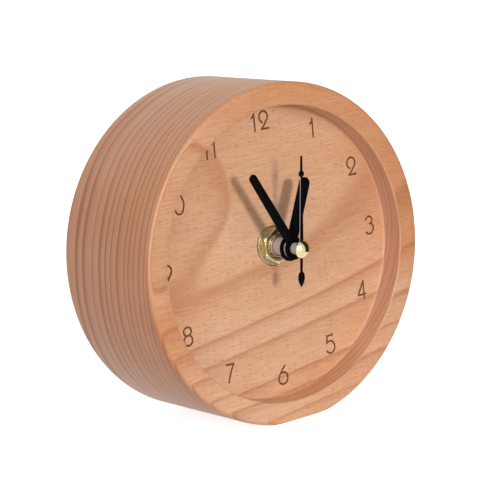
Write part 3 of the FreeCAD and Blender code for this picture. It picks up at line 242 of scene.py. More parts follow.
mesh = bpy.data.meshes.new("floor")
corners = [(-floor_half, -floor_half, 0), (floor_half, -floor_half, 0)]
corners += [(floor_half, floor_half, 0), (-floor_half, floor_half, 0)]
mesh.from_pydata(corners, [], [(0, 1, 2, 3)])
floor = bpy.data.objects.new("floor", mesh)
scene.collection.objects.link(floor)
paper, tree, shader = new_material("white_paper_floor")
fill(tree, shader, {
    "Base Color": "#D4D4D4", "Roughness": 1, "Specular IOR Level": 0, "Emission Color": "#FFFFFF",
    "Emission Strength": maths(tree, "MULTIPLY", seen_rays(tree), floor_lift),
})
mesh.materials.append(paper)
print("floor", 2 * floor_half, "m wide")

# %% [markdown]
# Polished brass shows whatever is round it, and in an all white room it would look like flat yellow
# paint. Photographers stand a dark card at one side of such things, and the front of a large soft lamp
# at the other. Both are cards here that shiny surfaces alone see: they light nothing and throw no
# shadow. The dark one also keeps the floor's glare off the wood and the black hands.

# %% Cards for the shiny parts
def stand_card(name, turns, distance, low, high, colour, glow, steps=16):
    """A curved card round the clock, between two turns, that only shiny surfaces see."""
    first, last = (math.radians(turn) for turn in turns)
    ways = [first + (last - first) * step / steps for step in range(steps + 1)]
    corners = [(distance * math.sin(way), -distance * math.cos(way), up)
               for up in (low, high) for way in ways]
    count = len(ways)
    faces = [(place, place + 1, count + place + 1, count + place) for place in range(steps)]
    mesh = bpy.data.meshes.new(name)
    mesh.from_pydata(corners, [], faces)
    card = bpy.data.objects.new(name, mesh)
    scene.collection.objects.link(card)
    material, tree, shader = new_material(name)
    fill(tree, shader, {"Base Color": colour, "Roughness": 1, "Emission Color": "#FFFFFF",
                        "Emission Strength": glow})
    mesh.materials.append(material)
    for ray in ("camera", "diffuse", "shadow", "transmission", "volume_scatter"):
        setattr(card, "visible_" + ray, False)
    print(name, "from", turns[0], "to", turns[1], "degrees")


stand_card("dark_card", (27, 125), distance=0.13, low=0.001, high=0.45, colour="#45443F", glow=0)
stand_card("lamp_front", (-54, -2), distance=1.1, low=0.04, high=1.0, colour="#FFFFFF", glow=3.3)

# %% [markdown]
# Places come from the frame wherever a part's box gives them. What a box can't show, such as the
# recess inside the rim, has its measured size here. Angles of the hands count clockwise from twelve.

# %% Sizes
case_low, case_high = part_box("wooden_case")
case_radius = (case_high.x - case_low.x) / 2
case_up = case_high.z - case_radius
front, back = case_low.y, case_high.y
recess_radius = 49.7 * mm
recess_depth = 8.2 * mm
dial = front + recess_depth
web_thickness = 6 * mm
web_back = dial + web_thickness
pocket_radius = 42 * mm

washer_low, washer_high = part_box("dial_washer")
shaft_up = (washer_low.z + washer_high.z) / 2
shaft = Vector((0, 0, shaft_up))
case_axis = Vector((0, 0, case_up))
hour_angle, minute_angle, second_angle = (math.radians(turn) for turn in (22, -29.2, 6.3))
print("case radius", round(case_radius / mm, 2), "shaft", round(shaft_up / mm, 2), "mm above the table")

# %% [markdown]
# Most of the clock is turned or cut from plate, so two builders make nearly all of it. One turns an
# outline about an axis. The other cuts closed loops from a plate. Both start from corners that carry
# their own radius, because no real edge is perfectly sharp and a rounded one catches the light.

# %% Builders for turned and cut parts
arc_steps, ease_steps = 6, 2
merge_distance = 0.0005 * mm
ease_angle, shade_angle = math.radians(40), math.radians(30)


def rounded(corners):
    """Points of a closed outline from (across, along, radius) corners."""
    points = []
    for place, (across, along, radius) in enumerate(corners):
        corner = Vector((across, along))
        if radius == 0:
            points.append(corner)
            continue
        before = (Vector(corners[place - 1][:2]) - corner).normalized()
        after = (Vector(corners[(place + 1) % len(corners)][:2]) - corner).normalized()
        half = before.angle(after) / 2
        middle = corner + (before + after).normalized() * radius / math.sin(half)
        start = corner + before * radius / math.tan(half) - middle
        end = corner + after * radius / math.tan(half) - middle
        sweep = start.angle_signed(end)
        for step in range(arc_steps + 1):
            points.append(middle + Matrix.Rotation(-sweep * step / arc_steps, 2) @ start)
    return points


def turn_outline(bm, outline, axis, segments, material=0):
    """Turn (radius, depth) points about a line along Y. The outline may be a function of the angle."""
    rings = []
    for step in range(segments):
        angle = 2 * math.pi * step / segments
        points = outline(angle) if callable(outline) else outline
        side, up = math.cos(angle), math.sin(angle)
        rings.append([bm.verts.new((axis.x + r * side, depth, axis.z + r * up)) for r, depth in points])
    count = len(points)
    for step, ring in enumerate(rings):
        following = rings[(step + 1) % segments]
        for place in range(count):
            after = (place + 1) % count
            if points[place][0] == 0 and points[after][0] == 0:
                continue
            face = bm.faces.new((ring[place], ring[after], following[after], following[place]))
            face.material_index = material


def cut_plate(bm, loops, plate_front, plate_back, ease):
    """Cut closed loops of (right, up) points from a plate, and round its edges by ease."""
    old_edges = set(bm.edges)
    sides = [[bm.verts.new((right, plate_front, up)) for right, up in loop] for loop in loops]
    rims = [bm.edges.new((loop[place - 1], loop[place])) for loop in sides for place in range(len(loop))]
    filled = bmesh.ops.triangle_fill(bm, use_beauty=True, edges=rims)["geom"]
    faces = [part for part in filled if isinstance(part, bmesh.types.BMFace)]
    behind = {corner: bm.verts.new((corner.co.x, plate_back, corner.co.z))
              for loop in sides for corner in loop}
    for face in list(faces):
        faces.append(bm.faces.new([behind[corner] for corner in reversed(face.verts)]))
    for loop in sides:
        for place, corner in enumerate(loop):
            before = loop[place - 1]
            faces.append(bm.faces.new((before, corner, behind[corner], behind[before])))
    bmesh.ops.recalc_face_normals(bm, faces=faces)
    ease_edges(bm, ease, [edge for edge in bm.edges if edge not in old_edges])


def ease_edges(bm, ease, edges):
    """Round the sharp ones of these edges by a small radius."""
    sharp = [edge for edge in edges if edge.is_manifold and edge.calc_face_angle() > ease_angle]
    bmesh.ops.bevel(bm, geom=sharp, offset=ease, segments=ease_steps, profile=0.5, affect="EDGES",
                    clamp_overlap=True)


def piece_from(name, bm, materials):
    """Close a mesh's seams, turn its faces outwards and make an object of it."""
    bmesh.ops.remove_doubles(bm, verts=bm.verts, dist=merge_distance)
    bmesh.ops.recalc_face_normals(bm, faces=bm.faces)
    mesh = bpy.data.meshes.new(name)
    bm.to_mesh(mesh)
    bm.free()
    return piece_of(name, mesh, materials)


def piece_of(name, mesh, materials):
    """An object for a finished mesh, smooth except across its sharp edges."""
    indices = [face.material_index for face in mesh.polygons]
    mesh.materials.clear()
    for material in materials:
        mesh.materials.append(material)
    mesh.polygons.foreach_set("material_index", indices)
    mesh.shade_smooth()
    mesh.set_sharp_from_angle(angle=shade_angle)
    piece = bpy.data.objects.new(name, mesh)
    scene.collection.objects.link(piece)
    return piece


def stand_for(piece, node):
    """Show a piece in place of a node, on the node's body."""
    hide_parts(node)
    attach(piece, body_of[node])
    print(piece.name, len(piece.data.polygons), "faces")


def result_mesh(piece):
    """The mesh that a piece's modifiers give, as plain data. The piece itself goes."""
    bpy.context.view_layer.update()
    mesh = bpy.data.meshes.new_from_object(piece.evaluated_get(bpy.context.evaluated_depsgraph_get()))
    bpy.data.objects.remove(piece)
    return mesh


print("a corner becomes", arc_steps + 1, "points")

# %% [markdown]
# Beech is a pale pinkish wood. The block is flat sawn, so its growth layers lie nearly level with the
# dial: they cut the side wall as close fine lines, and graze the dial as wide reddish bands. Painting
# the two by hand would never agree where they meet. Here one solid pattern gives both: the distance
# through the layers is worked out at each point, with the slight bow that a tree's roundness gives.

# %% Beech
layer_spacing = 5.8 * mm
layer_crowding = 5.0
layer_unevenness = 1.3
layer_group = 6 * mm
layer_phase = 0.2
pith_distance = 240 * mm
pith_up = 83 * mm
grain_slope = 0.0285
layer_wave = 1.8 * mm
wave_length, wave_width = 120 * mm, 42 * mm
warm_layer, warm_reach = 50.5 * mm, 4.5 * mm
loop_middle = Vector((-62, 0, 80)) * mm
loop_size = (48 * mm, 1, 27 * mm)  # a metre of depth, so that the loop is alike at every depth
loop_outer, loop_inner = 1.35, 0.65
fibre_length, fibre_width = 8 * mm, 0.32 * mm
fleck_length, fleck_width = 2.8 * mm, 0.32 * mm
mottle_length, mottle_width = 60 * mm, 24 * mm
warm_skin = 2 * mm
# Painted light on the walls that face the axis: where it starts, where it is full, its share and how much it
# fades the lines
painted_light_start, painted_light_full = -2 * mm, -25 * mm
painted_light_share, painted_light_plainness = 0.27, 0.5
pore_depth = 0.03 * mm


def layers_through(tree, place, end_share, flat_share):
    """How far each point lies through the wood, in metres and in layers, and its fibre pattern."""
    right, deep, up = add(tree, "ShaderNodeSeparateXYZ", {0: place}).outputs
    above = maths(tree, "SUBTRACT", up, pith_up)
    bow = maths(tree, "MULTIPLY", maths(tree, "POWER", above, 2), 1 / (2 * pith_distance))
    sloped = maths(tree, "MULTIPLY_ADD", right, grain_slope, bow)
    through = maths(tree, "ADD", maths(tree, "SUBTRACT", back, deep), sloped)
    wave = noise(tree, place, (wave_length, wave_width), 1.5)
    through = maths(tree, "MULTIPLY_ADD", wave, layer_wave, through)

    # Layers lie closer together towards the front, and no two are equally thick
    share = maths(tree, "DIVIDE", through, back - front)
    crowded = maths(tree, "MULTIPLY_ADD", maths(tree, "POWER", share, 2), layer_crowding, layer_phase)
    layer = maths(tree, "MULTIPLY_ADD", through, 1 / layer_spacing, crowded)
    uneven = add(tree, "ShaderNodeTexNoise", {"W": through, "Scale": 1 / layer_group, "Detail": 1},
                 noise_dimensions="1D").outputs[0]
    layer = maths(tree, "MULTIPLY_ADD", uneven, layer_unevenness, layer)

    # A branch grew beside the dial's upper left, and on the flat cut one layer loops round the place
    sockets = {"Vector": place, "Location": loop_middle, "Scale": loop_size}
    loop_place = add(tree, "ShaderNodeMapping", sockets, vector_type="TEXTURE").outputs[0]
    reach = add(tree, "ShaderNodeVectorMath", {0: loop_place}, operation="LENGTH").outputs["Value"]
    loop = ranged(tree, reach, loop_outer, loop_inner, shape="SMOOTHSTEP")
    layer = maths(tree, "MULTIPLY_ADD", loop, flat_share, layer)

    # Fibres run along the grain. They fray the layers' edges, except where the cut goes across them
    fibre = noise(tree, place, (fibre_length, fibre_width), 3, 0.6)
    fray = ranged(tree, end_share, 0, 1, 0.25, 0.06)
    return through, maths(tree, "MULTIPLY_ADD", fibre, fray, layer), fibre


def make_beech():
    """Beech, turned on a lathe, sanded and rubbed with clear oil. That gives a soft sheen."""
    beech, tree, shader = new_material("beech_turned_and_oiled")
    spots = add(tree, "ShaderNodeTexCoord").outputs
    place = spots["Object"]
    right, deep, _ = add(tree, "ShaderNodeSeparateXYZ", {0: place}).outputs
    facing = add(tree, "ShaderNodeSeparateXYZ", {0: spots["Normal"]}).outputs[0]
    end_share = maths(tree, "ABSOLUTE", facing)
    flat_share = maths(tree, "SUBTRACT", 1, end_share)
    through, layer, fibre = layers_through(tree, place, end_share, flat_share)

    # Pale wood in pinker and yellower clouds, with the fibres' own light and dark
    mottle = noise(tree, place, (mottle_length, mottle_width))
    colour = ramp(tree, mottle, {0.35: "#DCAF8E", 0.5: "#DBAB86", 0.68: "#D9A47C"})
    streak = ramp(tree, fibre, {0.25: "#EADBD2", 0.6: "#FFFFFF"})
    colour = mixed(tree, 1.0, colour, streak, "MULTIPLY")

    # End grain drinks more oil and is redder. The rim is also darker and warmer along a band that follows one
    # layer, strongest towards its front
    colour = mixed(tree, end_share, colour, "#F3DFD3", "MULTIPLY")
    away = maths(tree, "ABSOLUTE", maths(tree, "SUBTRACT", through, warm_layer))
    warm = ranged(tree, away, warm_reach, warm_reach / 5, shape="SMOOTHSTEP")
    in_rim = ranged(tree, deep, dial, front + warm_skin)
    colour = mixed(tree, maths(tree, "MULTIPLY", warm, in_rim), colour, "#F3DFCC", "MULTIPLY")

    # Each layer ends in a darker line: soft where the dial grazes it, crisp where end grain cuts it
    ring = maths(tree, "FRACT", layer)
    soft = ramp(tree, ring, {0.0: 0.8, 0.05: 0.66, 0.16: 0.3, 0.45: 0.08, 0.93: 0, 1.0: 0.8})
    crisp = ramp(tree, ring, {0.0: 1, 0.1: 0.85, 0.24: 0.3, 0.6: 0.06, 0.93: 0, 1.0: 1})
    line = add(tree, "ShaderNodeMix", {0: end_share, 2: soft, 3: crisp}).outputs[0]
    chance = add(tree, "ShaderNodeTexWhiteNoise", {"W": maths(tree, "FLOOR", layer)},
                 noise_dimensions="1D").outputs[0]
    line = maths(tree, "MULTIPLY", line, ranged(tree, chance, 0, 1, 0.6, 1))

    # Painted light: the walls of the dish and the pocket, where they face the axis, are made paler and their
    # lines fainter
    outward = maths(tree, "MULTIPLY", facing, right)
    painted_wall_light = ranged(tree, outward, painted_light_start, painted_light_full)
    colour = mixed(tree, maths(tree, "MULTIPLY", painted_wall_light, painted_light_share), colour, "#F0D2BC")
    line = maths(tree, "MULTIPLY", line, maths(tree, "MULTIPLY_ADD", painted_wall_light, -painted_light_plainness, 1))
    colour = mixed(tree, line, colour, mixed(tree, end_share, "#AF6C46", "#9A5D3F"))

    # Rays show on the dial as short thin dark flecks along the grain, some deep and some faint
    fleck_place = stretched(tree, place, fleck_length, fleck_width)
    fleck = add(tree, "ShaderNodeTexVoronoi", {"Vector": fleck_place, "Scale": 1}).outputs
    inside = ranged(tree, fleck[0], 0.4, 0.2, 0, 0.8)
    chance = add(tree, "ShaderNodeSeparateColor", {0: fleck[1]}).outputs[0]
    rare = maths(tree, "MULTIPLY", maths(tree, "POWER", chance, 2), flat_share)
    depth_share = maths(tree, "MULTIPLY", inside, rare)
    colour = mixed(tree, depth_share, colour, "#A9653F")

    # Oil leaves a low sheen, broken by the flecks and fibres
    relief = maths(tree, "MULTIPLY_ADD", depth_share, -0.6, fibre)
    fill(tree, shader, {
        "Base Color": colour, "Roughness": ranged(tree, fibre, 0.3, 0.7, 0.42, 0.55),
        "Normal": bumped(tree, 0.4, pore_depth, relief), "Specular IOR Level": 0.3,
        "Coat Weight": 0.15, "Coat Roughness": 0.2,
    })
    return beech


beech = make_beech()
print("layers across the depth:", round((back - front) / layer_spacing + layer_crowding, 1))

# %% [markdown]
# The numbers are burnt into the dial, so their grooves are brown and a little charred. The burn
# follows the fibres: some of them char more than others, so the brown is uneven along the grain.

# %% Burnt wood
def make_burnt():
    """Beech charred by a hot tool or a laser, dull, with paler fibres showing through."""
    burnt, tree, shader = new_material("beech_burnt")
    fibre = noise(tree, object_place(tree), (2 * fibre_width, fibre_width))
    fill(tree, shader, {
        "Base Color": ramp(tree, fibre, {0.3: "#5E3623", 0.55: "#7D4D35", 0.75: "#A27252"}),
        "Normal": bumped(tree, 0.6, pore_depth, fibre), "Roughness": 0.75, "Specular IOR Level": 0.1,
    })
    return burnt


burnt = make_burnt()
print("burnt finish", burnt.name)

# %% [markdown]
# The case is one drum turned from a block: a shallow dish in front with the dial as its floor, a
# deep round pocket behind for the movement, and a hole between them. A lathe outline turned in many
# fine steps gives it, and a cut level with the table gives the narrow flat on which it stands.

# %% Case blank
case_segments = 384
front_edge_round = 1.4 * mm
recess_edge_round = 0.6 * mm
recess_corner_round = 0.7 * mm
back_edge_round = 0.5 * mm
bushing_hole_radius = 4.6 * mm


def case_blank():
    """The turned drum, cut level with the table."""
    outline = rounded([
        (bushing_hole_radius, dial, 0),
        (recess_radius / 2, dial, 0),
        (recess_radius, dial, recess_corner_round),
        (recess_radius, front, recess_edge_round),
        (case_radius, front, front_edge_round),
        (case_radius, back, back_edge_round),
        (pocket_radius, back, back_edge_round),
        (pocket_radius, web_back, recess_corner_round),
        (bushing_hole_radius, web_back, 0),
    ])
    bm = bmesh.new()
    turn_outline(bm, outline, case_axis, case_segments)
    bmesh.ops.remove_doubles(bm, verts=bm.verts, dist=merge_distance)
    everything = bm.verts[:] + bm.edges[:] + bm.faces[:]
    cut = bmesh.ops.bisect_plane(bm, geom=everything, plane_co=(0, 0, 0), plane_no=(0, 0, -1),
                                 clear_outer=True)["geom_cut"]
    rim = [part for part in cut if isinstance(part, bmesh.types.BMEdge)]
    bmesh.ops.holes_fill(bm, edges=rim)
    return piece_from("case_blank", bm, [beech, burnt])


blank = case_blank()
print("blank", len(blank.data.polygons), "faces")

# %% [markdown]
# Each figure is drawn as a few runs, the way a signwriter would plan it. A run of two points is a
# straight stroke, and a longer one is a chain of arcs, each through three points. Geometry Nodes sweep
# a round cutter along every stroke, with a ball at each end, and one boolean cuts them all from the
# dial. So the numbers are real grooves, and shadows fall in them.

# %% Numerals
ring_radius = recess_radius - 6.1 * mm
ring_middle = Vector((-0.6 * mm, 0, case_up + 1.1 * mm))
figure_height = 6.15 * mm
figure_space_share = 0.26
groove_radius = 0.35 * mm
cutter_lift = 0.05 * mm
stroke_steps = 14
dial_hours = 12
figure_width_shares = {
    "0": 0.64, "1": 0.26, "2": 0.64, "3": 0.6, "4": 0.58,
    "5": 0.6, "6": 0.64, "7": 0.52, "8": 0.58, "9": 0.62,
}
figure_runs = {
    "0": [[(0.07, 0.78), (0, 0.5), (0.07, 0.22), (0.32, 0), (0.57, 0.22), (0.64, 0.5), (0.57, 0.78),
           (0.32, 1), (0.07, 0.78)]],
    "1": [[(0.2, 1), (0.2, 0)], [(0.2, 0.88), (0.02, 0.72)]],
    "2": [[(0.2, 0.4), (0.03, 0.72), (0.32, 1), (0.6, 0.74), (0.46, 0.42), (0.3, 0.2), (0.12, 0.03)],
          [(0.12, 0.03), (0.62, 0.03)]],
    "3": [[(0.08, 0.86), (0.33, 1), (0.54, 0.8), (0.49, 0.65), (0.34, 0.58), (0.58, 0.44), (0.57, 0.22),
           (0.34, 0.01), (0.06, 0.14)]],
    "4": [[(0.44, 1), (0.02, 0.23)], [(0.02, 0.23), (0.58, 0.23)], [(0.44, 1), (0.44, 0)]],
    "5": [[(0.5, 1.02), (0.1, 1.02)], [(0.1, 1.02), (0.04, 0.62)],
          [(0.04, 0.62), (0.4, 0.68), (0.59, 0.38), (0.38, 0.03), (0.02, 0.16)]],
    "6": [[(0.5, 1), (0.2, 0.68), (0.02, 0.36), (0.08, 0.1), (0.32, 0), (0.57, 0.12), (0.63, 0.34),
           (0.53, 0.59), (0.33, 0.66), (0.12, 0.58), (0.02, 0.36)]],
    "7": [[(0, 0.97), (0.5, 0.97)], [(0.5, 0.97), (0.26, 0.5), (0.08, 0)]],
    "8": [[(0.28, 1), (0.03, 0.78), (0.28, 0.55), (0.53, 0.78), (0.28, 1)],
          [(0.28, 0.55), (0, 0.28), (0.28, 0), (0.57, 0.28), (0.28, 0.55)]],
    "9": [[(0.12, 0), (0.42, 0.32), (0.6, 0.64), (0.54, 0.9), (0.3, 1), (0.05, 0.88), (0, 0.66),
           (0.09, 0.41), (0.29, 0.34), (0.5, 0.42), (0.6, 0.64)]],
}


def arc_through(start, halfway, end, steps):
    """Points of the circular arc through three points of a plane."""
    (ax, ay), (bx, by), (cx, cy) = start, halfway, end
    area = 2 * (ax * (by - cy) + bx * (cy - ay) + cx * (ay - by))
    a, b, c = ax * ax + ay * ay, bx * bx + by * by, cx * cx + cy * cy
    middle = Vector(((a * (by - cy) + b * (cy - ay) + c * (ay - by)) / area,
                     (a * (cx - bx) + b * (ax - cx) + c * (bx - ax)) / area))
    arms = [Vector(point) - middle for point in (start, halfway, end)]
    first, second = (arms[place].angle_signed(arms[place + 1]) for place in (0, 1))
    sweep = first + second
    return [middle + Matrix.Rotation(-sweep * step / steps, 2) @ arms[0] for step in range(steps + 1)]


def numeral_strokes():
    """Every stroke of the twelve numbers, as runs of (right, up) points on the dial."""
    strokes = []
    for hour in range(1, dial_hours + 1):
        figures = str(hour)
        angle = 2 * math.pi * hour / dial_hours
        widths = [figure_height * figure_width_shares[figure] for figure in figures]
        space = figure_height * figure_space_share
        across = sum(widths) + space * (len(figures) - 1)
        left = ring_middle.x + ring_radius * math.sin(angle) - across / 2
        low = ring_middle.z + ring_radius * math.cos(angle) - figure_height / 2
        for figure, width in zip(figures, widths):
            for run in figure_runs[figure]:
                points = [(left + r * figure_height, low + u * figure_height) for r, u in run]
                if len(points) == 2:
                    strokes.append(points)
                for first in range(0, len(points) - 2, 2):
                    strokes.append(arc_through(*points[first:first + 3], stroke_steps))
            left += width + space
    return strokes


strokes = numeral_strokes()
print("strokes", len(strokes))

# %% Cutter swept along the strokes
def new_tree(name, inputs):
    """A Geometry Nodes tree with named inputs, and what its input node gives."""
    tree = bpy.data.node_groups.new(name, "GeometryNodeTree")
    tree.interface.new_socket("Geometry", in_out="INPUT", socket_type="NodeSocketGeometry")
    for label, kind in inputs.items():
        tree.interface.new_socket(label, in_out="INPUT", socket_type="NodeSocket" + kind)
    tree.interface.new_socket("Geometry", in_out="OUTPUT", socket_type="NodeSocketGeometry")
    return tree, add(tree, "NodeGroupInput").outputs


def finish_tree(tree, geometry, material):
    """End a tree with real geometry that carries its material."""
    real = add(tree, "GeometryNodeRealizeInstances", {0: geometry})
    dressed = add(tree, "GeometryNodeSetMaterial", {"Geometry": real.outputs[0], "Material": material})
    add(tree, "NodeGroupOutput", {0: dressed.outputs[0]})


def run_tree(tree, piece, values):
    """Run a tree on a piece with these inputs, and give back the mesh that it makes."""
    modifier = piece.modifiers.new(tree.name, "NODES")
    modifier.node_group = tree
    for item in tree.interface.items_tree:
        if item.in_out == "INPUT" and item.name in values:
            modifier[item.identifier] = values[item.name]
    return result_mesh(piece)


def stroke_tree():
    """Sweep a round cutter along curves, with a ball at both ends of each."""
    tree, given = new_tree("groove_cutter", {"Radius": "Float", "Sides": "Int", "Material": "Material"})
    section = add(tree, "GeometryNodeCurvePrimitiveCircle",
                  {"Resolution": given["Sides"], "Radius": given["Radius"]})
    swept = add(tree, "GeometryNodeCurveToMesh",
                {"Curve": given["Geometry"], "Profile Curve": section.outputs[0], "Fill Caps": True})
    ball = add(tree, "GeometryNodeMeshIcoSphere", {"Radius": given["Radius"], "Subdivisions": 3})
    ends = add(tree, "GeometryNodeCurveEndpointSelection")
    balls = add(tree, "GeometryNodeInstanceOnPoints",
                {"Points": given["Geometry"], "Selection": ends.outputs[0], "Instance": ball.outputs[0]})
    joined = add(tree, "GeometryNodeJoinGeometry", {0: [swept.outputs[0], balls.outputs[0]]})
    finish_tree(tree, joined.outputs[0], given["Material"])
    return tree


def stroke_curves():
    """The strokes as a curve object, a hair in front of the dial."""
    lines = bpy.data.curves.new("strokes", "CURVE")
    lines.dimensions = "3D"
    for stroke in strokes:
        spline = lines.splines.new("POLY")
        spline.points.add(len(stroke) - 1)
        for point, (right, up) in zip(spline.points, stroke):
            point.co = (right, dial - cutter_lift, up, 1)
    curves = bpy.data.objects.new("strokes", lines)
    scene.collection.objects.link(curves)
    return curves


cutter_sides = 14
cutter_mesh = run_tree(stroke_tree(), stroke_curves(),
                       {"Radius": groove_radius, "Sides": cutter_sides, "Material": burnt})
print("cutter", len(cutter_mesh.polygons), "faces")

# %% Cut the numerals
def cut_away(piece, cutter):
    """Cut one piece's shape out of another and give back the mesh."""
    modifier = piece.modifiers.new("cut", "BOOLEAN")
    modifier.operation = "DIFFERENCE"
    modifier.solver = "EXACT"
    modifier.use_self = True
    modifier.object = cutter
    mesh = result_mesh(piece)
    bpy.data.objects.remove(cutter)
    return mesh


cutter = piece_of("cutter", cutter_mesh, [beech, burnt])
for face in cutter_mesh.polygons:
    face.material_index = 1
case = piece_of("turned_case", cut_away(blank, cutter), [beech, burnt])
stand_for(case, "wooden_case")
print("faces in the grooves:", sum(face.material_index == 1 for face in case.data.polygons))

# %% [markdown]
# The fixing is plain brass, and each part of it was cut in another way. The washer was turned, which
# leaves rings. The nut was faced across, which leaves faint slanting lines. The button was polished.
# One maker gives all three, and a wave pattern stands for the tool marks.

# %% Brass
tool_mark_depth = 0.004 * mm
haze_size = 1.4 * mm
wave_step = math.pi / 10  # a wave texture of this scale has about one wave to the metre


def make_brass(name, light, dark, roughness, mark_spacing, turned):
    """Brass with its tool marks: rings about the shaft where turned, slanting lines where milled."""
    brass, tree, shader = new_material(name)
    centred = add(tree, "ShaderNodeMapping", {"Vector": object_place(tree), "Location": -shaft}).outputs[0]
    sockets = {"Vector": centred, "Scale": wave_step / mark_spacing, "Distortion": 1.5, "Detail": 2}
    marks = add(tree, "ShaderNodeTexWave", sockets, wave_type="RINGS" if turned else "BANDS",
                rings_direction="Y", bands_direction="DIAGONAL").outputs[1]
    worn = maths(tree, "MULTIPLY_ADD", marks, 0.35, noise(tree, centred, haze_size, 3))
    fill(tree, shader, {
        "Base Color": ramp(tree, worn, {0.35: dark, 0.85: light}),
        "Roughness": ranged(tree, worn, 0.2, 1.0, roughness * 1.3, roughness * 0.8),
        "Normal": bumped(tree, 0.35, tool_mark_depth, marks), "Metallic": 1,
    })
    return brass


washer_brass = make_brass("brass_turned", "#C6BC98", "#8B8564", 0.34, 0.35 * mm, True)
nut_brass = make_brass("brass_milled", "#DFCBA0", "#94805A", 0.3, 0.6 * mm, False)
button_brass = make_brass("brass_polished", "#E2D0A2", "#C9B684", 0.12, 0.5 * mm, True)
print("brass finishes", washer_brass.name, nut_brass.name, button_brass.name)

# %% [markdown]
# The washer is a flat turned ring with an eased rim. The nut is a hexagon whose corners are turned
# down, and where that cone meets each flat it leaves the curved edge that every nut has. A boolean
# could cut it, but the lathe does it as well: each step's outline ends where the flat lies.

# %% Washer and nut
nut_low, nut_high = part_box("hex_nut")
nut_sides = 6
steps_per_side = 20
nut_corner_radius = (nut_high.z - nut_low.z) / 2
nut_flat_radius = nut_corner_radius * math.cos(math.pi / nut_sides)
nut_face_margin = 0.12 * mm
nut_face_radius = nut_flat_radius - nut_face_margin
nut_ease = 0.07 * mm
nut_corner_cut = 0.5 * mm
nut_bore = 4.04 * mm
nut_bore_cut = 0.3 * mm
washer_radius = (washer_high.x - washer_low.x) / 2
washer_bore = 4.2 * mm
washer_round, washer_ease = 0.22 * mm, 0.1 * mm
small_part_segments = 120


def nut_outline(angle):
    """The nut's section in one direction from its middle."""
    side = 2 * math.pi / nut_sides
    flat = nut_flat_radius / math.cos((angle + side / 2) % side - side / 2)
    fall = nut_corner_cut * (flat - nut_face_radius) / (nut_corner_radius - nut_face_radius)
    return [
        (nut_bore + nut_bore_cut, nut_low.y),
        (nut_face_radius, nut_low.y),
        (flat, nut_low.y + fall),
        (flat, nut_high.y),
        (nut_bore, nut_high.y),
        (nut_bore, nut_low.y + nut_bore_cut),
    ]


bm = bmesh.new()
turn_outline(bm, nut_outline, shaft, nut_sides * steps_per_side)
bmesh.ops.recalc_face_normals(bm, faces=bm.faces)
ease_edges(bm, nut_ease, bm.edges)
stand_for(piece_from("brass_nut", bm, [nut_brass]), "hex_nut")

bm = bmesh.new()
turn_outline(bm, rounded([
    (washer_bore, washer_low.y, washer_ease),
    (washer_radius, washer_low.y, washer_round),
    (washer_radius, washer_high.y, washer_ease),
    (washer_bore, washer_high.y, washer_ease),
]), shaft, small_part_segments)
stand_for(piece_from("brass_washer", bm, [washer_brass]), "dial_washer")

# %% [markdown]
# The bushing is the movement's threaded neck. Only its end shows past the nut, but it is one real
# part, so it keeps its whole thread. A thread is a section that follows a helix, and Geometry Nodes
# have a spiral to sweep it along. The turned core and the swept ridge make one mesh.

# %% Bushing with its thread
bushing_low, bushing_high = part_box("threaded_bushing")
thread_radius = 4 * mm
thread_pitch = 0.75 * mm
ridge_radius = 0.3 * mm
ridge_overlap = 0.02 * mm
core_radius = thread_radius - ridge_radius + ridge_overlap
bushing_bore = 2.98 * mm
flange_radius = (bushing_high.x - bushing_low.x) / 2
flange_thickness = 0.8 * mm
bushing_end_cut = 0.35 * mm
mouth_round, end_round, flange_round = 0.12 * mm, 0.2 * mm, 0.1 * mm
turn_steps = 48


def thread_tree():
    """A ridge that climbs a helix along Y."""
    inputs = {"Radius": "Float", "Pitch": "Float", "Length": "Float", "Ridge": "Float", "Steps": "Int",
              "Start": "Vector", "Material": "Material"}
    tree, given = new_tree("thread", inputs)
    helix = add(tree, "GeometryNodeCurveSpiral", {
        "Resolution": given["Steps"], "Rotations": maths(tree, "DIVIDE", given["Length"], given["Pitch"]),
        "Start Radius": given["Radius"], "End Radius": given["Radius"], "Height": given["Length"],
    })
    section = add(tree, "GeometryNodeCurvePrimitiveCircle", {"Resolution": 4, "Radius": given["Ridge"]})
    ridge = add(tree, "GeometryNodeCurveToMesh",
                {"Curve": helix.outputs[0], "Profile Curve": section.outputs[0], "Fill Caps": True})
    laid = add(tree, "GeometryNodeTransform", {
        "Geometry": ridge.outputs[0], "Rotation": (-math.pi / 2, 0, 0), "Translation": given["Start"],
    })
    finish_tree(tree, laid.outputs[0], given["Material"])
    return tree


thread_start = bushing_low.y + bushing_end_cut + ridge_radius
thread_length = bushing_high.y - flange_thickness - ridge_radius - thread_start
holder = piece_of("thread", bpy.data.meshes.new("thread"), [nut_brass])
ridge = run_tree(thread_tree(), holder, {
    "Radius": thread_radius - ridge_radius, "Pitch": thread_pitch, "Length": thread_length,
    "Ridge": ridge_radius, "Steps": turn_steps, "Start": (0, thread_start, shaft_up), "Material": nut_brass,
})
bm = bmesh.new()
bm.from_mesh(ridge)
turn_outline(bm, rounded([
    (bushing_bore, bushing_low.y, mouth_round),
    (core_radius, bushing_low.y, end_round),
    (core_radius, bushing_high.y - flange_thickness, 0),
    (flange_radius, bushing_high.y - flange_thickness, flange_round),
    (flange_radius, bushing_high.y, flange_round),
    (bushing_bore, bushing_high.y, 0),
]), shaft, small_part_segments)
stand_for(piece_from("brass_bushing", bm, [nut_brass]), "threaded_bushing")

# %% [markdown]
# The hands are stamped from thin sheet and lacquered matt black. On the second hand's needle, below the bead,
# the side faces are painted pale: a painted highlight that shows as a thin pale line against the wood. Each
# outline is drawn as its right half, with the hand pointing up, then mirrored and turned to its time.

# %% Black lacquer, the bare collar and the painted highlight
sheet_relief = 0.01 * mm


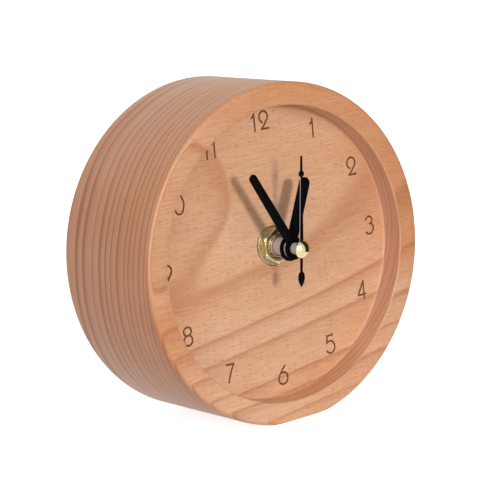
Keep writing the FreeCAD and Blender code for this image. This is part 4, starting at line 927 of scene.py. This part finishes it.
def make_sheet(name, light, dark, sheen, grain_size, others):
    """Sheet metal, bare or sprayed, with a fine grain that breaks up its sheen."""
    sheet, tree, shader = new_material(name)
    grain = noise(tree, object_place(tree), grain_size)
    fill(tree, shader, {
        "Base Color": ramp(tree, grain, {0.3: dark, 0.7: light}),
        "Roughness": ranged(tree, grain, 0.3, 0.7, *sheen),
        "Normal": bumped(tree, 0.2, sheet_relief, grain),
    })
    fill(tree, shader, others)
    return sheet


def make_metal(name, light, dark, roughness, streak_length, streak_width, metallic=1):
    """Sheet or wire metal with fine streaks along X. With a metallic value of zero it is a dull pale surface,
    as for the collar and the needle's painted highlight.
    """
    sheen = (roughness * 1.25, roughness * 0.8)
    return make_sheet(name, light, dark, sheen, (streak_length, streak_width), {"Metallic": metallic})


lacquer = make_sheet("steel_lacquered_black", "#0A090B", "#040405", (0.42, 0.55), 0.12 * mm,
                     {"Specular IOR Level": 0.04})
# Pale dull zinc: the minute hand's collar, and the painted highlight along the second hand's needle edges
dull_zinc_and_painted_highlight = make_metal("zinc_dull_and_painted_highlight", "#D2CFCE", "#BAB7B6", 0.5, 0.3 * mm, 0.1 * mm, metallic=0)
print("hand finishes", lacquer.name, dull_zinc_and_painted_highlight.name)

# %% Hands
hand_ease = 0.09 * mm
hole_steps = 64


def circle_points(radius):
    """A closed circle of (right, up) points."""
    angles = [2 * math.pi * step / hole_steps for step in range(hole_steps)]
    return [Vector((radius * math.sin(angle), radius * math.cos(angle))) for angle in angles]


def round_run(radius, middle_up, start_width, end_width, steps=18):
    """Right side of a round swelling, between the half widths that it starts and ends at."""
    start = math.pi - math.asin(start_width / radius)
    end = math.asin(end_width / radius)
    turns = [start + (end - start) * step / steps for step in range(steps + 1)]
    return [Vector((radius * math.sin(turn), middle_up + radius * math.cos(turn))) for turn in turns]


def mirrored(right_side):
    """Close a right half outline, drawn from bottom to top, with its mirror image."""
    left_side = [Vector((-point.x, point.y)) for point in reversed(right_side) if point.x > merge_distance]
    return right_side + left_side


def turned_loop(loop, angle):
    """Turn a loop clockwise about the shaft, and set it at the shaft's height."""
    side, up = math.cos(angle), math.sin(angle)
    return [Vector((p.x * side + p.y * up, p.y * side - p.x * up + shaft_up)) for p in loop]


def hand_from(name, node, loops, angle, more=None):
    """Cut a hand's loops from its node's own sheet, and add anything else on its body."""
    low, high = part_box(node)
    sheet_back = low.y + hand_sheets[node]
    bm = bmesh.new()
    cut_plate(bm, [turned_loop(loop, angle) for loop in loops], low.y, sheet_back, hand_ease)
    if more:
        more(bm, sheet_back, high.y)
    stand_for(piece_from(name, bm, [lacquer, dull_zinc_and_painted_highlight]), node)


hand_sheets = {"hour_hand": 0.5 * mm, "minute_hand": 0.5 * mm, "second_hand": 0.3 * mm}
hour_length, hour_half, hour_hub, hour_hole = 24 * mm, 2.175 * mm, 4.45 * mm, 2.92 * mm
hour_side = round_run(hour_hub, 0, 0, hour_half)
hour_side += round_run(hour_half, hour_length - hour_half, hour_half, 0)
hand_from("hour_hand_black", "hour_hand", [mirrored(hour_side), circle_points(hour_hole)], hour_angle)

minute_length, minute_root, minute_end = 31.1 * mm, 1.7 * mm, 1.45 * mm
minute_hub, minute_hole, collar_radius = 3.8 * mm, 1.97 * mm, 3.4 * mm
minute_side = round_run(minute_hub, 0, 0, minute_root)
minute_side += round_run(minute_end, minute_length - minute_end, minute_end, 0)


def add_collar(bm, sheet_back, collar_back):
    """The bare turned collar that the minute hand is riveted to."""
    ease = 0.1 * mm
    turn_outline(bm, rounded([
        (minute_hole, sheet_back - hand_ease, 0), (collar_radius, sheet_back - hand_ease, 0),
        (collar_radius, collar_back, ease), (minute_hole, collar_back, ease),
    ]), shaft, small_part_segments, material=1)


hand_from("minute_hand_black", "minute_hand", [mirrored(minute_side), circle_points(minute_hole)],
          minute_angle, add_collar)

# %% [markdown]
# The second hand is a needle with a bead near its tip and a small spade on its tail. A bead or the
# hub is a swelling between two widths, so the outline is a chain of straight runs and round ones.

# %% Second hand
needle_length, needle_root, needle_tip = 30.9 * mm, 0.75 * mm, 0.325 * mm
bead_radius, bead_place = 1.05 * mm, 25 * mm
tail_half, hub_radius, hub_hole = 0.45 * mm, 2 * mm, 1.12 * mm
spade_half, spade_start, spade_middle, spade_end = 1.325 * mm, -7.6 * mm, -9.5 * mm, -12.5 * mm
spade_steps, shoulder_power = 10, 0.8
# Side faces that lean less than this share get the painted highlight
highlight_side_share = 0.3


def needle_width(up):
    """Half the needle's width at a height above the shaft."""
    return needle_root + (needle_tip - needle_root) * up / needle_length


def spade_side():
    """The spade's right side, from its point up to the tail: a swelling flank, then a round shoulder."""
    points = [Vector((0, spade_end))]
    for step in range(1, spade_steps + 1):
        share = step / spade_steps
        flank = spade_half * math.sin(math.pi / 2 * share)
        points.append(Vector((flank, spade_end + (spade_middle - spade_end) * share)))
    for step in range(1, spade_steps):
        turn = math.pi / 2 * step / spade_steps
        shoulder = tail_half + (spade_half - tail_half) * math.cos(turn) ** shoulder_power
        points.append(Vector((shoulder, spade_middle + (spade_start - spade_middle) * math.sin(turn))))
    return points + [Vector((tail_half, spade_start))]


def bare_needle_edges(bm, *_):
    """Paint a highlight along the needle's side faces below the bead, with the pale dull finish."""
    for face in bm.faces:
        up = face.calc_center_median().z - shaft_up
        if abs(face.normal.y) < highlight_side_share and 0 < up < bead_place - 2 * bead_radius:
            face.material_index = 1


second_side = spade_side()
second_side += round_run(hub_radius, 0, tail_half, needle_root)
second_side += round_run(bead_radius, bead_place, needle_width(bead_place), needle_width(bead_place))
second_side += round_run(needle_tip, needle_length - needle_tip, needle_tip, 0)
hand_from("second_hand_black", "second_hand", [mirrored(second_side), circle_points(hub_hole)], second_angle,
          bare_needle_edges)

# %% [markdown]
# The button covers the end of the shaft. It is a small turned dome, and as the one polished part in
# the picture it needs an outline fine enough that its highlight has a smooth edge.

# %% Brass button
cap_low, cap_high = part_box("second_hand_cap")
second_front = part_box("second_hand")[0].y
cap_radius = (cap_high.x - cap_low.x) / 2
cap_rim = 0.5 * mm
cap_round = 0.18 * mm
shank_radius, socket_radius = 1.1 * mm, 0.62 * mm
dome_steps = 28


def button_outline():
    """Half the button's section, from the top of its dome round to the socket for the shaft."""
    rim_front = second_front - cap_rim
    dome = rim_front - cap_low.y
    ball = (cap_radius ** 2 + dome ** 2) / (2 * dome)
    lean = math.asin((cap_radius - cap_round) / ball)
    points = [(ball * math.sin(lean * step / dome_steps),
               cap_low.y + ball * (1 - math.cos(lean * step / dome_steps))) for step in range(dome_steps + 1)]
    corners = [(cap_radius, rim_front, cap_round), (cap_radius, second_front, cap_round / 2),
               (shank_radius, second_front, 0)]
    rim = rounded([(points[-1][0], points[-1][1], 0)] + corners)
    end = [(shank_radius, cap_high.y), (socket_radius, cap_high.y), (socket_radius, rim_front),
           (0, rim_front)]
    return points + [tuple(point) for point in rim[1:]] + end


bm = bmesh.new()
turn_outline(bm, button_outline(), shaft, small_part_segments)
stand_for(piece_from("brass_button", bm, [button_brass]), "second_hand_cap")

# %% [markdown]
# Behind the dial sits a black moulded movement. Moulded plastic has small radii on all its edges and
# a fine spark-eroded texture. Its solids are right already, with every post and clip, so a copy of
# each is merged, its flat faces are joined and only the sharp edges are rounded.

# %% Plastics
flow_size = 9 * mm


def make_plastic(name, light, dark, roughness, grain_size, relief=0.02 * mm, subsurface=0.0, gloss=0.5):
    """Moulded plastic. The mould's texture gives a fine grain in sheen and relief."""
    plastic, tree, shader = new_material(name)
    place = object_place(tree)
    grain = noise(tree, place, grain_size, 3)
    blended = maths(tree, "MULTIPLY_ADD", grain, 0.5, noise(tree, place, flow_size, 1))
    fill(tree, shader, {
        "Base Color": ramp(tree, blended, {0.5: dark, 1.0: light}),
        "Roughness": ranged(tree, grain, 0.3, 0.7, roughness * 1.15, roughness * 0.85),
        "Normal": bumped(tree, 0.4, relief, grain), "Specular IOR Level": gloss,
        "Subsurface Weight": subsurface, "Subsurface Radius": (1, 1, 1), "Subsurface Scale": 0.5 * mm,
    })
    return plastic


black_abs = make_plastic("abs_black_spark_eroded", "#242425", "#161617", 0.5, 0.28 * mm, gloss=0.25)
knob_abs = make_plastic("abs_black_glossy", "#1E1E1F", "#121213", 0.3, 0.4 * mm, 0.008 * mm, gloss=0.35)
tube_acetal = make_plastic("acetal_grey_tube", "#D6D0D2", "#C6BEC1", 0.35, 0.2 * mm, 0.005 * mm, 0.1)
wheel_acetal = make_plastic("acetal_natural", "#EFEADD", "#DED7C6", 0.35, 0.3 * mm, 0.005 * mm, 0.15)
plate_abs = make_plastic("abs_ivory", "#D9D3C2", "#C7C0AC", 0.45, 0.3 * mm)
nylon = make_plastic("nylon_black", "#2B2A28", "#1B1A19", 0.42, 0.25 * mm)
print("plastics", black_abs.name, knob_abs.name, tube_acetal.name)

# %% Movement shell and cover
moulded_ease, contact_ease = 0.2 * mm, 0.06 * mm
flat_angle = math.radians(0.3)


def eased_copy(name, node, ease, materials):
    """A merged copy of a node's solid with its sharp edges rounded."""
    bm = bmesh.new()
    bm.from_mesh(frame["nodes"][node].data)
    bmesh.ops.remove_doubles(bm, verts=bm.verts, dist=merge_distance)
    bmesh.ops.dissolve_limit(bm, angle_limit=flat_angle, verts=bm.verts, edges=bm.edges)
    ease_edges(bm, ease, bm.edges)
    bmesh.ops.triangulate(bm, faces=[face for face in bm.faces if len(face.verts) > 4])
    return piece_from(name, bm, materials)


stand_for(eased_copy("movement_shell_black", "movement_front_shell", moulded_ease, [black_abs]),
          "movement_front_shell")

# %% [markdown]
# The cover carries a plus and a minus beside the battery, so that the cell goes in the right way
# round. They are plain raised marks of the mould, and they are cut as thin plates of the same plastic.

# %% Cover with its polarity marks
cover_low, cover_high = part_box("movement_back_cover")
battery_low, battery_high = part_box("aa_battery")
mark_rise, mark_sink, mark_ease = 0.25 * mm, 0.1 * mm, 0.08 * mm
mark_half, mark_stroke = 2.2 * mm, 0.45 * mm
mark_side, mark_margin = 21 * mm, 4 * mm
mark_up = cover_low.z + mark_margin


def bar_loop(right, up, half_across, half_up):
    """A rectangle of (right, up) points."""
    ways = ((-1, -1), (1, -1), (1, 1), (-1, 1))
    return [Vector((right + x * half_across, up + z * half_up)) for x, z in ways]


def plus_loop(right, up):
    """A plus sign's outline."""
    arm, half = mark_half, mark_stroke
    corners = [(-half, -arm), (half, -arm), (half, -half), (arm, -half), (arm, half), (half, half),
               (half, arm), (-half, arm), (-half, half), (-arm, half), (-arm, -half), (-half, -half)]
    return [Vector((right + x, up + z)) for x, z in corners]


cover = eased_copy("movement_cover_black", "movement_back_cover", moulded_ease, [black_abs])
bm = bmesh.new()
bm.from_mesh(cover.data)
for loop in (plus_loop(mark_side, mark_up), bar_loop(-mark_side, mark_up, mark_half, mark_stroke)):
    cut_plate(bm, [loop], cover_high.y - mark_sink, cover_high.y + mark_rise, mark_ease)
bpy.data.objects.remove(cover)
stand_for(piece_from("movement_cover_marked", bm, [black_abs]), "movement_back_cover")

# %% [markdown]
# The setting knob is a turned button with flutes for the finger. Cutting eighteen grooves one by one
# is a chore, and a rule does it: Geometry Nodes push each point of the rim inwards by a wave that
# repeats round the axis. The wave fades towards the middle, so that the face stays flat.

# %% Setting knob
knob_low, knob_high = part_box("setting_knob")
knob_axis = Vector(((knob_low.x + knob_high.x) / 2, 0, (knob_low.z + knob_high.z) / 2))
knob_radius = (knob_high.x - knob_low.x) / 2
knob_socket_radius, knob_socket_end = 1.22 * mm, 9.8 * mm
knob_round, knob_face_round = 0.3 * mm, 0.5 * mm
knob_dish, ring_share, dish_share = 0.5 * mm, 0.76, 0.6
flute_count, flute_depth = 18, 0.55 * mm
flute_start_share, wave_start = 0.78, -0.2
steps_per_flute = 16
knob_segments = flute_count * steps_per_flute


def flute_tree():
    """Press flutes into the rim of a part that turns about a line along Y."""
    inputs = {"Flutes": "Int", "Depth": "Float", "Rim": "Float", "Axis": "Vector", "Material": "Material"}
    tree, given = new_tree("flutes", inputs)
    place = add(tree, "GeometryNodeInputPosition")
    arm = add(tree, "ShaderNodeVectorMath", {0: place.outputs[0], 1: given["Axis"]}, operation="SUBTRACT")
    flat = add(tree, "ShaderNodeVectorMath", {0: arm.outputs[0], 1: (1, 0, 1)}, operation="MULTIPLY")
    reach = add(tree, "ShaderNodeVectorMath", {0: flat.outputs[0]}, operation="LENGTH")
    outward = add(tree, "ShaderNodeVectorMath", {0: flat.outputs[0]}, operation="NORMALIZE")
    right, _, up = add(tree, "ShaderNodeSeparateXYZ", {0: flat.outputs[0]}).outputs
    angle = maths(tree, "ARCTAN2", up, right)
    wave = maths(tree, "COSINE", maths(tree, "MULTIPLY", angle, given["Flutes"]))
    hollow = ranged(tree, wave, wave_start, 1, shape="SMOOTHSTEP")
    share = maths(tree, "DIVIDE", reach.outputs["Value"], given["Rim"])
    near_rim = ranged(tree, share, flute_start_share, 1)
    press = maths(tree, "MULTIPLY", maths(tree, "MULTIPLY", hollow, near_rim), given["Depth"])
    inward = maths(tree, "MULTIPLY", press, -1)
    offset = add(tree, "ShaderNodeVectorMath", {0: outward.outputs[0], "Scale": inward}, operation="SCALE")
    moved = add(tree, "GeometryNodeSetPosition", {"Geometry": given["Geometry"], "Offset": offset.outputs[0]})
    finish_tree(tree, moved.outputs[0], given["Material"])
    return tree


bm = bmesh.new()
turn_outline(bm, rounded([
    (knob_socket_radius, knob_low.y, 0),
    (knob_radius, knob_low.y, knob_round),
    (knob_radius, knob_high.y, knob_face_round),
    (knob_radius * ring_share, knob_high.y, knob_round),
    (knob_radius * dish_share, knob_high.y - knob_dish, knob_round),
    (0, knob_high.y - knob_dish, 0),
    (0, knob_socket_end, 0),
    (knob_socket_radius, knob_socket_end, 0),
]), knob_axis, knob_segments)
knob_blank = piece_from("knob_blank", bm, [knob_abs])
knob_mesh = run_tree(flute_tree(), knob_blank, {
    "Flutes": flute_count, "Depth": flute_depth, "Rim": knob_radius, "Axis": tuple(knob_axis),
    "Material": knob_abs,
})
stand_for(piece_of("setting_knob_fluted", knob_mesh, [knob_abs]), "setting_knob")

# %% [markdown]
# One AA cell lies in the bay. A cell is a steel can in a printed film that folds over both ends, with
# a small steel button at the positive end. It is turned about the clock's Y axis like the rest, and
# its mesh is then laid along X. The print is plain: a band of another colour marks the positive end.

# %% Battery
cell_radius = (battery_high.z - battery_low.z) / 2
cell_middle = (battery_low + battery_high) / 2
cell_half = (battery_high.x - battery_low.x) / 2
button_radius, button_length = 2.75 * mm, 1 * mm
base_radius, base_rim, base_rise = 4.6 * mm, 4.9 * mm, 0.3 * mm
film_edge, fold_width, fold_round, film_round = 5.9 * mm, 0.1 * mm, 0.05 * mm, 0.6 * mm
cap_step = 0.25 * mm
button_foot, button_foot_round, button_round = 0.3 * mm, 0.2 * mm, 0.35 * mm
band_start = cell_half - 12 * mm
speck_size, film_relief = 0.6 * mm, 0.02 * mm


def make_film():
    """Printed shrink film, glossy: dark, with a copper-coloured band at the positive end."""
    film, tree, shader = new_material("printed_film_on_steel")
    place = object_place(tree)
    along = add(tree, "ShaderNodeSeparateXYZ", {0: place}).outputs[0]
    speck = noise(tree, place, speck_size)
    dark = ramp(tree, speck, {0.3: "#26312F", 0.7: "#2F3C3A"})
    warm = ramp(tree, speck, {0.3: "#A8744B", 0.7: "#B98357"})
    fill(tree, shader, {
        "Base Color": mixed(tree, maths(tree, "GREATER_THAN", along, band_start), dark, warm),
        "Normal": bumped(tree, 0.1, film_relief, speck), "Roughness": 0.28,
    })
    return film


film = make_film()
nickel = make_metal("steel_nickel_plated", "#D2CEC6", "#ADA9A1", 0.28, 2 * mm, 0.15 * mm)
shoulder = cell_half - button_length
bm = bmesh.new()
turn_outline(bm, rounded([
    (0, -cell_half, 0),
    (base_radius, -cell_half, base_rise),
    (base_rim, -cell_half + base_rise, 0),
    (film_edge, -cell_half + base_rise, 0),
    (film_edge + fold_width, -cell_half + fold_round, fold_round),
    (cell_radius, -cell_half + fold_round, film_round),
    (cell_radius, shoulder, film_round),
    (film_edge + fold_width, shoulder, fold_round),
    (film_edge, shoulder - cap_step, 0),
    (button_radius + button_foot, shoulder - cap_step, button_foot_round),
    (button_radius, cell_half, button_round),
    (0, cell_half, 0),
]), Vector((0, 0, 0)), small_part_segments)
for face in bm.faces:
    middle = face.calc_center_median()
    face.material_index = int(math.hypot(middle.x, middle.z) < film_edge)
laid = Matrix.Translation(cell_middle) @ Matrix.Rotation(-math.pi / 2, 4, "Z")
bmesh.ops.transform(bm, matrix=laid, verts=bm.verts)
stand_for(piece_from("aa_cell", bm, [film, nickel]), "aa_battery")

# %% [markdown]
# Sprung contacts hold the cell at both ends. They are strips of nickel-plated steel, sheared and
# bent, and a little rounding along their cut edges is what makes such thin metal read as metal.

# %% Battery contacts
for node in ("positive_contact", "negative_contact"):
    piece = eased_copy(node + "_plated", node, contact_ease, [nickel])
    stand_for(piece, node)

# %% [markdown]
# What is left is shut inside the movement or hides behind the brass, and its solids are right as
# they are. Each gets the finish of what it is made of: moulded acetal wheels, drawn steel, rolled
# iron, enamelled wire, a printed board. The two grey tubes between the hands show in front.

# %% Finishes for the inner parts
def make_winding():
    """Enamelled copper wire, wound in close turns round the coil's length along X."""
    winding, tree, shader = new_material("copper_wire_enamelled")
    wire = 0.25 * mm
    sockets = {"Vector": object_place(tree), "Scale": wave_step / wire, "Distortion": 0.6}
    turns = add(tree, "ShaderNodeTexWave", sockets, wave_type="BANDS", bands_direction="X").outputs[1]
    fill(tree, shader, {
        "Base Color": ramp(tree, turns, {0.1: "#6E2F16", 0.6: "#B96A3B", 1.0: "#D18A56"}),
        "Normal": bumped(tree, 0.8, wire / 3, turns), "Metallic": 1, "Roughness": 0.3,
    })
    return winding


board_resin = make_plastic("phenolic_board", "#B98F55", "#9C7440", 0.5, 0.5 * mm)
rubber = make_plastic("nitrile_rubber", "#262524", "#1A1918", 0.8, 0.35 * mm)
epoxy = make_plastic("epoxy_black", "#1A1A1C", "#101012", 0.2, 0.8 * mm)
ferrite = make_plastic("ferrite_magnet", "#4A4846", "#343231", 0.55, 0.2 * mm)
drawn_steel = make_metal("steel_drawn", "#CFCCC7", "#A19E99", 0.22, 0.4 * mm, 0.1 * mm)
rolled_iron = make_metal("silicon_iron_rolled", "#A8A6A3", "#827F7B", 0.4, 3 * mm, 0.12 * mm)
spring_steel = make_metal("steel_spring", "#B4AFA8", "#8B8680", 0.3, 1 * mm, 0.1 * mm)
tinned = make_metal("steel_tinned_can", "#DAD9D6", "#B8B6B2", 0.25, 0.5 * mm, 0.2 * mm)
winding = make_winding()

inner_finishes = {
    tube_acetal: ["hour_wheel", "minute_arbor"],
    wheel_acetal: ["seconds_wheel", "third_wheel", "intermediate_wheel", "centre_wheel", "motion_wheel",
                   "rotor_pinion", "setting_arbor"],
    plate_abs: ["middle_plate"],
    nylon: ["coil_bobbin"],
    rubber: ["rubber_gasket"],
    drawn_steel: ["seconds_arbor"],
    spring_steel: ["clutch_spring"],
    ferrite: ["rotor_magnet"],
    rolled_iron: ["stator_plate", "coil_core"],
    winding: ["coil_winding"],
    board_resin: ["circuit_board"],
    epoxy: ["clock_chip"],
    tinned: ["quartz_crystal"],
}
for material, nodes in inner_finishes.items():
    for node in nodes:
        for slot in frame["nodes"][node].material_slots:
            slot.material = material
print("inner nodes dressed:", sum(len(nodes) for nodes in inner_finishes.values()))
